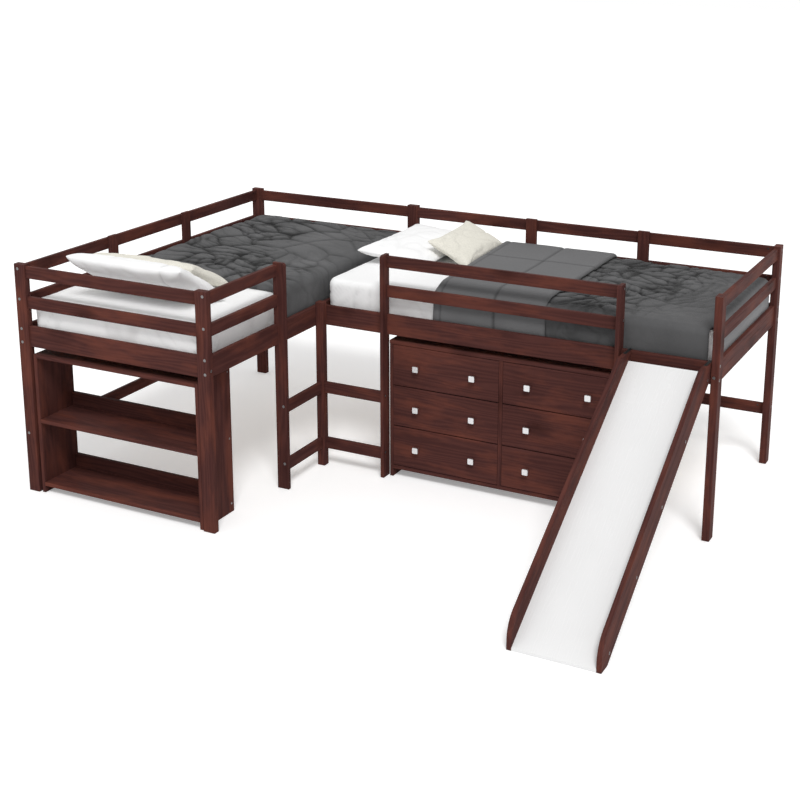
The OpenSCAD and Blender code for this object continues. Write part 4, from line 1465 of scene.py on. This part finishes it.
    def seams(self, d: np.ndarray, s: np.ndarray) -> np.ndarray:
        """Depth of the sewn lines on the turned-back part.

        Args:
            d: distance from its far edge over the bed and down.
            s: distance from its head edge.

        Returns:
            The depth at each point.
        """
        middle_seam = Seam(at=self.turned * self.middle_share, width=0.007, depth=0.0045)
        across = sum(seam.sunk(d) for seam in self.cross_seams)
        return self.hem_seam.sunk(s) + middle_seam.sunk(s) + across

    def rounded_off(self, from_edge: np.ndarray) -> np.ndarray:
        """How far the mattress's rounded edge lies below its top.

        Args:
            from_edge: distance from the side of the mattress.

        Returns:
            The distance at each point.
        """
        inside = np.clip(self.edge_r - from_edge, 0, self.edge_r)
        return self.edge_r - np.sqrt(self.edge_r**2 - inside**2)

    def laid(self, d: np.ndarray, s: np.ndarray, end: np.ndarray, off: np.ndarray) -> np.ndarray:
        """Lays the comforter over the bed.

        Args:
            d: distance from its far edge over the bed and down.
            s: distance from its head edge.
            end: distance past the flat part over the foot of the bed.
            off: height over the mattress.

        Returns:
            A point for each place.
        """
        angle = np.clip((d - self.flat) / self.bend_r, 0, QUARTER)
        below = np.maximum(d - self.flat - self.curve, 0)
        out = np.where(d < self.flat, d, self.flat + (self.bend_r + off) * np.sin(angle))
        up = np.where(d < self.flat, off, (self.bend_r + off) * np.cos(angle) - self.bend_r - below)
        sway = self.sway * np.sin(s * 31.0) * np.clip(below / 0.09, 0, 1)
        lag = self.slant * np.minimum(d / self.flat, 1) - self.flare * smooth_step(below / self.drop)
        place = self.head + s + lag * np.clip(1 - s / (self.turned or self.length), 0, 1)
        dip = np.minimum(end / self.bend_r, QUARTER)
        rise = np.where(d < self.flat, off, 0)
        place = place + (self.bend_r + rise) * np.sin(dip)
        up = up + (self.bend_r + rise) * (np.cos(dip) - 1) - np.maximum(end - self.curve, 0)
        up = up - self.rounded_off(self.inset + d)
        if not self.ends_down:
            up = up - self.rounded_off(self.beyond + self.length - s)
        over, down = np.array(self.across), np.array(self.along)
        sense = float(over.sum())
        base = self.start @ np.abs(over) + sense * self.inset
        points = np.abs(over) * (base + sense * (out + sway))[..., None] + down * place[..., None]
        points[..., 2] = self.top + up
        return points


@dataclass(frozen=True)
class Pillow:
    """Stuffed pillow, swollen by a cloth simulation.

    Args:
        name: name of the piece.
        node: node that it stands for.
        bed: node of its mattress.
        size: length, width and thickness.
        middle: its middle from the low corner of the mattress along X and Y,
            and its height over the mattress.
        turns: rotations about X, Y and Z in degrees, applied in that order.
        endwise: whether its length lies along Y before it is turned, not X.
        finish: its cloth.
        slot: material slot of the record; not used.
        seed: picks its creases.
        hem: place of the case's hem along its length, from -1 to 1, or None.
        hem_w: width of the hem's seam, as a share of half the length.
        hem_depth: depth of the hem's seam.
        crease: depth of the creases.
        shade: share by which the creases are darker.
        pull: share by which its sides are drawn in.
        plump: power of the curve from its rim to its middle; lower is fuller.
        cap: farthest that the simulation may move a point.
        frames: steps of the simulation.
        cells: points along its length and its width.
        fill: how full it is, from 0 to 1; not used.
    """

    name: str
    node: str
    bed: str
    size: tuple[float, float, float]
    middle: tuple[float, float, float]
    turns: tuple[float, float, float]
    endwise: bool
    finish: ClothFinish
    slot: str
    seed: int
    hem: float | None = None
    hem_w: float = 0.022
    hem_depth: float = 0.004
    crease: float = 0.0045
    shade: float = 0.06
    pull: float = 0.030
    plump: float = 0.38
    cap: float = 0.013
    frames: int = 22
    cells: tuple[int, int] = (72, 48)
    fill: float = 0.6

    def build(self, groups: Groups) -> bpy.types.Object:
        """Builds, dresses and places the pillow.

        Args:
            groups: shared shader groups.

        Returns:
            The pillow.
        """
        points, faces, uv, painted_shade = self.case()
        piece = object_from(self.name, points, faces, uv, painted_shade)
        self.swell(piece)
        self.settle(piece)
        finish_soft(piece, self.node, self.finish.material(groups))
        return piece

    def case(self) -> tuple[np.ndarray, Faces, np.ndarray, np.ndarray]:
        """The slack case before it swells.

        Returns:
            Its points, faces, UV pairs and shares by which it is drawn darker with painted shade.
        """
        rows, columns = self.cells
        u, v = np.meshgrid(np.linspace(-1, 1, rows), np.linspace(-1, 1, columns), indexing="ij")
        x = u * (1 - self.pull * (1 - v * v)) * self.size[0] / 2
        y = v * (1 - self.pull * (1 - u * u)) * self.size[1] / 2
        lift = self.size[2] / 2 * ((1 - u**2) * (1 - v**2)).clip(0) ** self.plump
        rough = noise_over(x, y, 14.0, self.seed)
        crease = ridge(noise_over(x * 0.7, y, 10.0, self.seed + 5), 5)
        crease *= smooth_step(lift / self.size[2] * 3)
        lift = lift * (0.92 + 0.10 * rough) - self.crease * crease
        if self.hem is not None:
            sewn = bell(u - self.hem, self.hem_w) * smooth_step(lift / self.size[2] * 4)
            lift = lift - self.hem_depth * sewn
            crease = crease + 3.5 * sewn
        upper = np.stack([x, y, lift], -1).reshape(-1, 3)
        points = np.concatenate([upper, upper * (1, 1, -1)])
        # Painted shade in the creases and along the hem's seam.
        painted_shade = np.tile(crease.ravel(), 2) * self.shade
        faces, keep = self.joined(rows, columns)
        return points[keep], faces, points[keep, :2], painted_shade[keep]

    @staticmethod
    def joined(rows: int, columns: int) -> tuple[Faces, np.ndarray]:
        """Joins the upper and the lower sheet of a case along their rims.

        Args:
            rows: number of rows of points of a sheet.
            columns: points in a row.

        Returns:
            The faces, and the indices of the points that are kept.
        """
        count = rows * columns
        index = np.arange(count).reshape(rows, columns)
        rim = np.concatenate([index[0], index[-1], index[:, 0], index[:, -1]])
        swap = np.arange(2 * count)
        swap[rim + count] = rim
        keep = np.unique(swap)
        place = np.zeros(2 * count, int)
        place[keep] = np.arange(keep.size)
        sheets = grid_faces(rows, columns) + grid_faces(rows, columns, count, True)
        return [tuple(int(place[swap[c]]) for c in face) for face in sheets], keep

    def swell(self, piece: bpy.types.Object) -> None:
        """Swells the case with air and keeps the result.

        Args:
            piece: the pillow's case.
        """
        cloth = piece.modifiers.new("swell", "CLOTH")
        cloth.settings.quality = 5
        cloth.settings.mass = 0.15
        cloth.settings.tension_stiffness = 14
        cloth.settings.compression_stiffness = 14
        cloth.settings.shear_stiffness = 8
        cloth.settings.bending_stiffness = 0.3
        cloth.settings.use_pressure = True
        cloth.settings.uniform_pressure_force = 4.0
        cloth.settings.shrink_min = -0.05
        cloth.settings.effector_weights.gravity = 0
        cloth.collision_settings.use_collision = False
        cloth.point_cache.frame_end = self.frames
        scene = bpy.context.scene
        for frame in range(1, self.frames + 1):
            scene.frame_set(frame)
        held = piece.evaluated_get(bpy.context.evaluated_depsgraph_get())
        swollen, slack = points_of(held.data), points_of(piece.data)
        piece.modifiers.remove(cloth)
        moved = swollen - slack
        length = np.maximum(np.linalg.norm(moved, axis=1, keepdims=True), TINY)
        share = self.cap * np.tanh(length / self.cap) / length
        move_points(piece.data, slack + moved * share)
        scene.frame_set(1)

    def settle(self, piece: bpy.types.Object) -> None:
        """Brings the pillow to its size and place, and smooths it.

        Args:
            piece: the pillow.
        """
        points = points_of(piece.data).astype(float)
        low, high = points.min(0), points.max(0)
        points = (points - (low + high) / 2) * (np.array(self.size) / (high - low))
        matrix = Euler(tuple(math.radians(a) for a in self.turns), "XYZ").to_matrix()
        if self.endwise:
            matrix = matrix @ Matrix.Rotation(QUARTER, 3, "Z")
        corner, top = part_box(self.bed)
        origin = np.array((corner.x, corner.y, top.z))
        move_points(piece.data, points @ np.array(matrix).T + origin + np.array(self.middle))
        finer = piece.modifiers.new("finer", "SUBSURF")
        finer.levels = finer.render_levels = 1


PILLOWS = (
    Pillow(
        name="white_pillow_left",
        node="white_pillow_a",
        bed="mattress_a",
        size=(0.640, 0.400, 0.120),
        middle=(0.499, 0.2015, 0.1103),
        turns=(-31, 0, 0),
        endwise=False,
        finish=WHITE_LINEN,
        slot="white_linen",
        seed=11,
        hem=0.60,
    ),
    Pillow(
        name="cream_pillow_left",
        node="cream_pillow_a",
        bed="mattress_a",
        size=(0.590, 0.330, 0.095),
        middle=(0.398, 0.4405, 0.0796),
        turns=(-25, 0, 0),
        endwise=False,
        finish=CREAM_LINEN,
        slot="cream_linen",
        seed=23,
    ),
    Pillow(
        name="white_pillow_back",
        node="white_pillow_b",
        bed="mattress_b",
        size=(0.645, 0.396, 0.090),
        middle=(0.186, 0.629, 0.0469),
        turns=(0, 5, 0),
        endwise=True,
        finish=WHITE_LINEN,
        slot="white_linen",
        seed=37,
    ),
    Pillow(
        name="cream_pillow_back",
        node="cream_pillow_b",
        bed="mattress_b",
        size=(0.520, 0.255, 0.080),
        middle=(0.422, 0.685, 0.0661),
        turns=(0, 27, 4),
        endwise=True,
        finish=CREAM_LINEN,
        slot="cream_linen",
        seed=41,
    ),
)


@dataclass(frozen=True)
class ScrewRow:
    """Round-headed screws through the long rails into the uprights.

    Args:
        head_r: radius of a head.
        head_h: height of a head.
        upright_w: width of an upright.
        upright_pitch: distance between the two uprights of a side.
        rail_h: height of a rail.
        rail_pitch: distance between the rails, from middle to middle.
    """

    head_r: float = 0.0045
    head_h: float = 0.0018
    upright_w: float = 0.058
    upright_pitch: float = 0.600
    rail_h: float = 0.056
    rail_pitch: float = 0.142

    def build(self, groups: Groups) -> bpy.types.Object:
        """Builds, dresses and places the screws.

        Args:
            groups: shared shader groups.

        Returns:
            The screws as one object.
        """
        spots, turns = self.spots()
        mesh = bpy.data.meshes.new("upright_screws")
        mesh.from_pydata(spots, [], [])
        layer = mesh.attributes.new("turn", "FLOAT_VECTOR", "POINT")
        layer.data.foreach_set("vector", [c for turn in turns for c in turn])
        piece = bpy.data.objects.new("upright_screws", mesh)
        bpy.context.scene.collection.objects.link(piece)
        modifier = piece.modifiers.new("heads", "NODES")
        modifier.node_group = self.tree(STEEL.material(groups))
        sizes = {"Radius": self.head_r, "Height": self.head_h}
        for item in modifier.node_group.interface.items_tree:
            if item.in_out == "INPUT" and item.name in sizes:
                modifier[item.identifier] = sizes[item.name]
        held = piece.evaluated_get(bpy.context.evaluated_depsgraph_get())
        made = bpy.data.meshes.new_from_object(held)
        piece.modifiers.clear()
        piece.data = made
        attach(piece, BODY)
        LOG.info("made %s with %d faces", piece.name, len(made.polygons))
        return piece

    def spots(self) -> tuple[list[Place], list[Place]]:
        """Places of the screws and the way that they face.

        Returns:
            The places, and the turn of each screw from facing up.
        """
        low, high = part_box("rail_uprights")
        outer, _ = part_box("side_rails_a")
        _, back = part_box("side_rails_b")
        first_y, last_x = low.y + self.upright_w / 2, high.x - self.upright_w / 2
        lower = outer.z + self.rail_h / 2
        places: list[Place] = []
        turns: list[Place] = []
        for z in (lower, lower + self.rail_pitch):
            for y in (first_y, first_y + self.upright_pitch):
                places.append((outer.x, y, z))
                turns.append((0.0, -QUARTER, 0.0))
            for x in (last_x, last_x - self.upright_pitch):
                places.append((x, back.y, z))
                turns.append((-QUARTER, 0.0, 0.0))
        return places, turns

    @staticmethod
    def tree(material: bpy.types.Material) -> bpy.types.NodeTree:
        """Geometry tree that puts a domed head on each point.

        Args:
            material: material of the heads.

        Returns:
            The tree.
        """
        tree = bpy.data.node_groups.new("screw_heads", "GeometryNodeTree")
        for name in ("Geometry", "Radius", "Height"):
            kind = "NodeSocketGeometry" if name == "Geometry" else "NodeSocketFloat"
            tree.interface.new_socket(name=name, in_out="INPUT", socket_type=kind)
        tree.interface.new_socket(name="Geometry", in_out="OUTPUT", socket_type="NodeSocketGeometry")
        w = Wiring(tree)
        start, end = w.add("NodeGroupInput"), w.add("NodeGroupOutput")
        radius, height = start.outputs["Radius"], start.outputs["Height"]
        ball = w.add("GeometryNodeMeshUVSphere", in_Segments=16, in_Rings=10, in_Radius=radius)
        size = w.add("ShaderNodeCombineXYZ", in_0=1.0, in_1=1.0, in_2=w.math("DIVIDE", height, radius))
        turn = w.add("GeometryNodeInputNamedAttribute", data_type="FLOAT_VECTOR", in_Name="turn")
        place = w.add("GeometryNodeInstanceOnPoints", in_Points=start.outputs["Geometry"])
        tree.links.new(ball.outputs["Mesh"], place.inputs["Instance"])
        tree.links.new(turn.outputs["Attribute"], place.inputs["Rotation"])
        tree.links.new(size.outputs[0], place.inputs["Scale"])
        real = w.add("GeometryNodeRealizeInstances", in_0=place.outputs[0])
        dress = w.add("GeometryNodeSetMaterial", in_0=real.outputs[0], in_Material=material)
        tree.links.new(dress.outputs[0], end.inputs[0])
        return tree


@dataclass(frozen=True)
class Studio:
    """Camera, floor, backdrop and lamp.

    Args:
        eye: place of the camera.
        yaw: turn of the view to the left, in degrees.
        pitch: how far it looks down, in degrees.
        lens: focal length in millimetres.
        sensor_w: width of the sensor in millimetres.
        shift: shift of the lens sideways and up.
        floor_reach: distance from the middle of the floor to its sides.
        floor_drop: how far the floor lies under the object.
        floor_grey: brightness of the floor's colour.
        floor_glow: light that the floor gives off where it is seen, which
            fades the shadow.
        sky: strength of the even light.
        sun: strength of the lamp.
        sun_angle: how wide the lamp looks, in degrees.
        sun_way: direction in which the lamp shines.
    """

    eye: tuple[float, float, float] = (2.9693, -5.5609, 2.7055)
    yaw: float = 27.59
    pitch: float = 15.042
    lens: float = 64.44
    sensor_w: float = 36.0
    shift: tuple[float, float] = (-0.0059, -0.15)
    floor_reach: float = 30.0
    floor_drop: float = 0.001
    floor_grey: float = 0.94
    floor_glow: float = 0.27
    sky: float = 0.60
    sun: float = 1.75
    sun_angle: float = 18.0
    sun_way: tuple[float, float, float] = (-0.42, 0.62, -0.95)

    def build(self) -> None:
        """Builds the whole studio."""
        self.camera()
        self.floor()
        self.backdrop()
        self.lamp()
        bpy.context.scene.view_settings.view_transform = "Standard"
        LOG.info("made the studio")

    def camera(self) -> None:
        """Places the camera at the photograph's viewing angle."""
        data = bpy.data.cameras.new("camera")
        data.lens = self.lens
        data.sensor_width = self.sensor_w
        data.shift_x, data.shift_y = self.shift
        data.clip_end = 100.0
        camera = bpy.data.objects.new("camera", data)
        camera.location = self.eye
        camera.rotation_euler = (math.radians(90 - self.pitch), 0.0, math.radians(self.yaw))
        bpy.context.scene.collection.objects.link(camera)
        bpy.context.scene.camera = camera

    @staticmethod
    def seen(w: Wiring) -> bpy.types.NodeSocket:
        """Tells the rays that show the surroundings from those that light.

        Args:
            w: wiring of the floor's material or of the world.

        Returns:
            The value socket, 1 for a ray that shows them.
        """
        ray = w.add("ShaderNodeLightPath")
        seen = w.math("MAXIMUM", ray.outputs["Is Camera Ray"], ray.outputs["Is Glossy Ray"])
        return w.math("MAXIMUM", seen, ray.outputs["Is Transmission Ray"])

    def floor(self) -> None:
        """Lays the pale floor."""
        mesh = bpy.data.meshes.new("floor")
        reach, low = self.floor_reach, -self.floor_drop
        sides = ((-reach, -reach), (reach, -reach), (reach, reach), (-reach, reach))
        mesh.from_pydata([(x, y, low) for x, y in sides], [], [(0, 1, 2, 3)])
        floor = bpy.data.objects.new("floor", mesh)
        bpy.context.scene.collection.objects.link(floor)
        material, w, shader = start_material("pale_floor")
        shader.inputs["Base Color"].default_value = (self.floor_grey, self.floor_grey, self.floor_grey, 1)
        shader.inputs["Roughness"].default_value = 0.9
        shader.inputs["Specular IOR Level"].default_value = 0.0
        shader.inputs["Emission Color"].default_value = WHITE
        glow = w.math("MULTIPLY", self.seen(w), self.floor_glow)
        w.tree.links.new(glow, shader.inputs["Emission Strength"])
        give(floor, material)

    def backdrop(self) -> None:
        """Lights the object evenly and shows white all round it."""
        world = bpy.data.worlds.new("studio")
        bpy.context.scene.world = world
        world.use_nodes = True
        w = Wiring(world.node_tree)
        ground = world.node_tree.nodes["Background"]
        ground.inputs["Color"].default_value = WHITE
        ground.inputs["Strength"].default_value = self.sky
        white = w.add("ShaderNodeBackground", in_Color=WHITE, in_Strength=1.0)
        both = w.add("ShaderNodeMixShader", in_0=self.seen(w))
        w.tree.links.new(ground.outputs[0], both.inputs[1])
        w.tree.links.new(white.outputs[0], both.inputs[2])
        w.tree.links.new(both.outputs[0], world.node_tree.nodes["World Output"].inputs["Surface"])

    def lamp(self) -> None:
        """Hangs the soft lamp that shades the object."""
        data = bpy.data.lights.new("key", "SUN")
        data.energy = self.sun
        data.angle = math.radians(self.sun_angle)
        key = bpy.data.objects.new("key", data)
        key.rotation_euler = Vector(self.sun_way).to_track_quat("-Z", "Y").to_euler()
        bpy.context.scene.collection.objects.link(key)


def main() -> None:
    """Builds every piece round the frame."""
    logging.basicConfig(level=logging.INFO, format="%(message)s")
    clear_scene()
    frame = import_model()
    groups = Groups.build()
    Studio().build()
    Joinery(frame["nodes"], groups).dress()
    Mattress("mattress_a", seed=1.7).build(groups)
    Mattress("mattress_b", seed=4.1).build(groups)
    Comforter("comforter_a", "mattress_a", across=(1, 0, 0), along=(0, 1, 0), quilting=LOOSE).build(groups)
    Comforter(
        "comforter_b",
        "mattress_b",
        across=(0, -1, 0),
        along=(1, 0, 0),
        quilting=GATHERED,
        slant=0.058,
        turned=0.617,
        flare=0.004,
        ends_down=True,
    ).build(groups)
    for pillow in PILLOWS:
        pillow.build(groups)
    ScrewRow().build(groups)


if __name__ == "__main__":
    main()
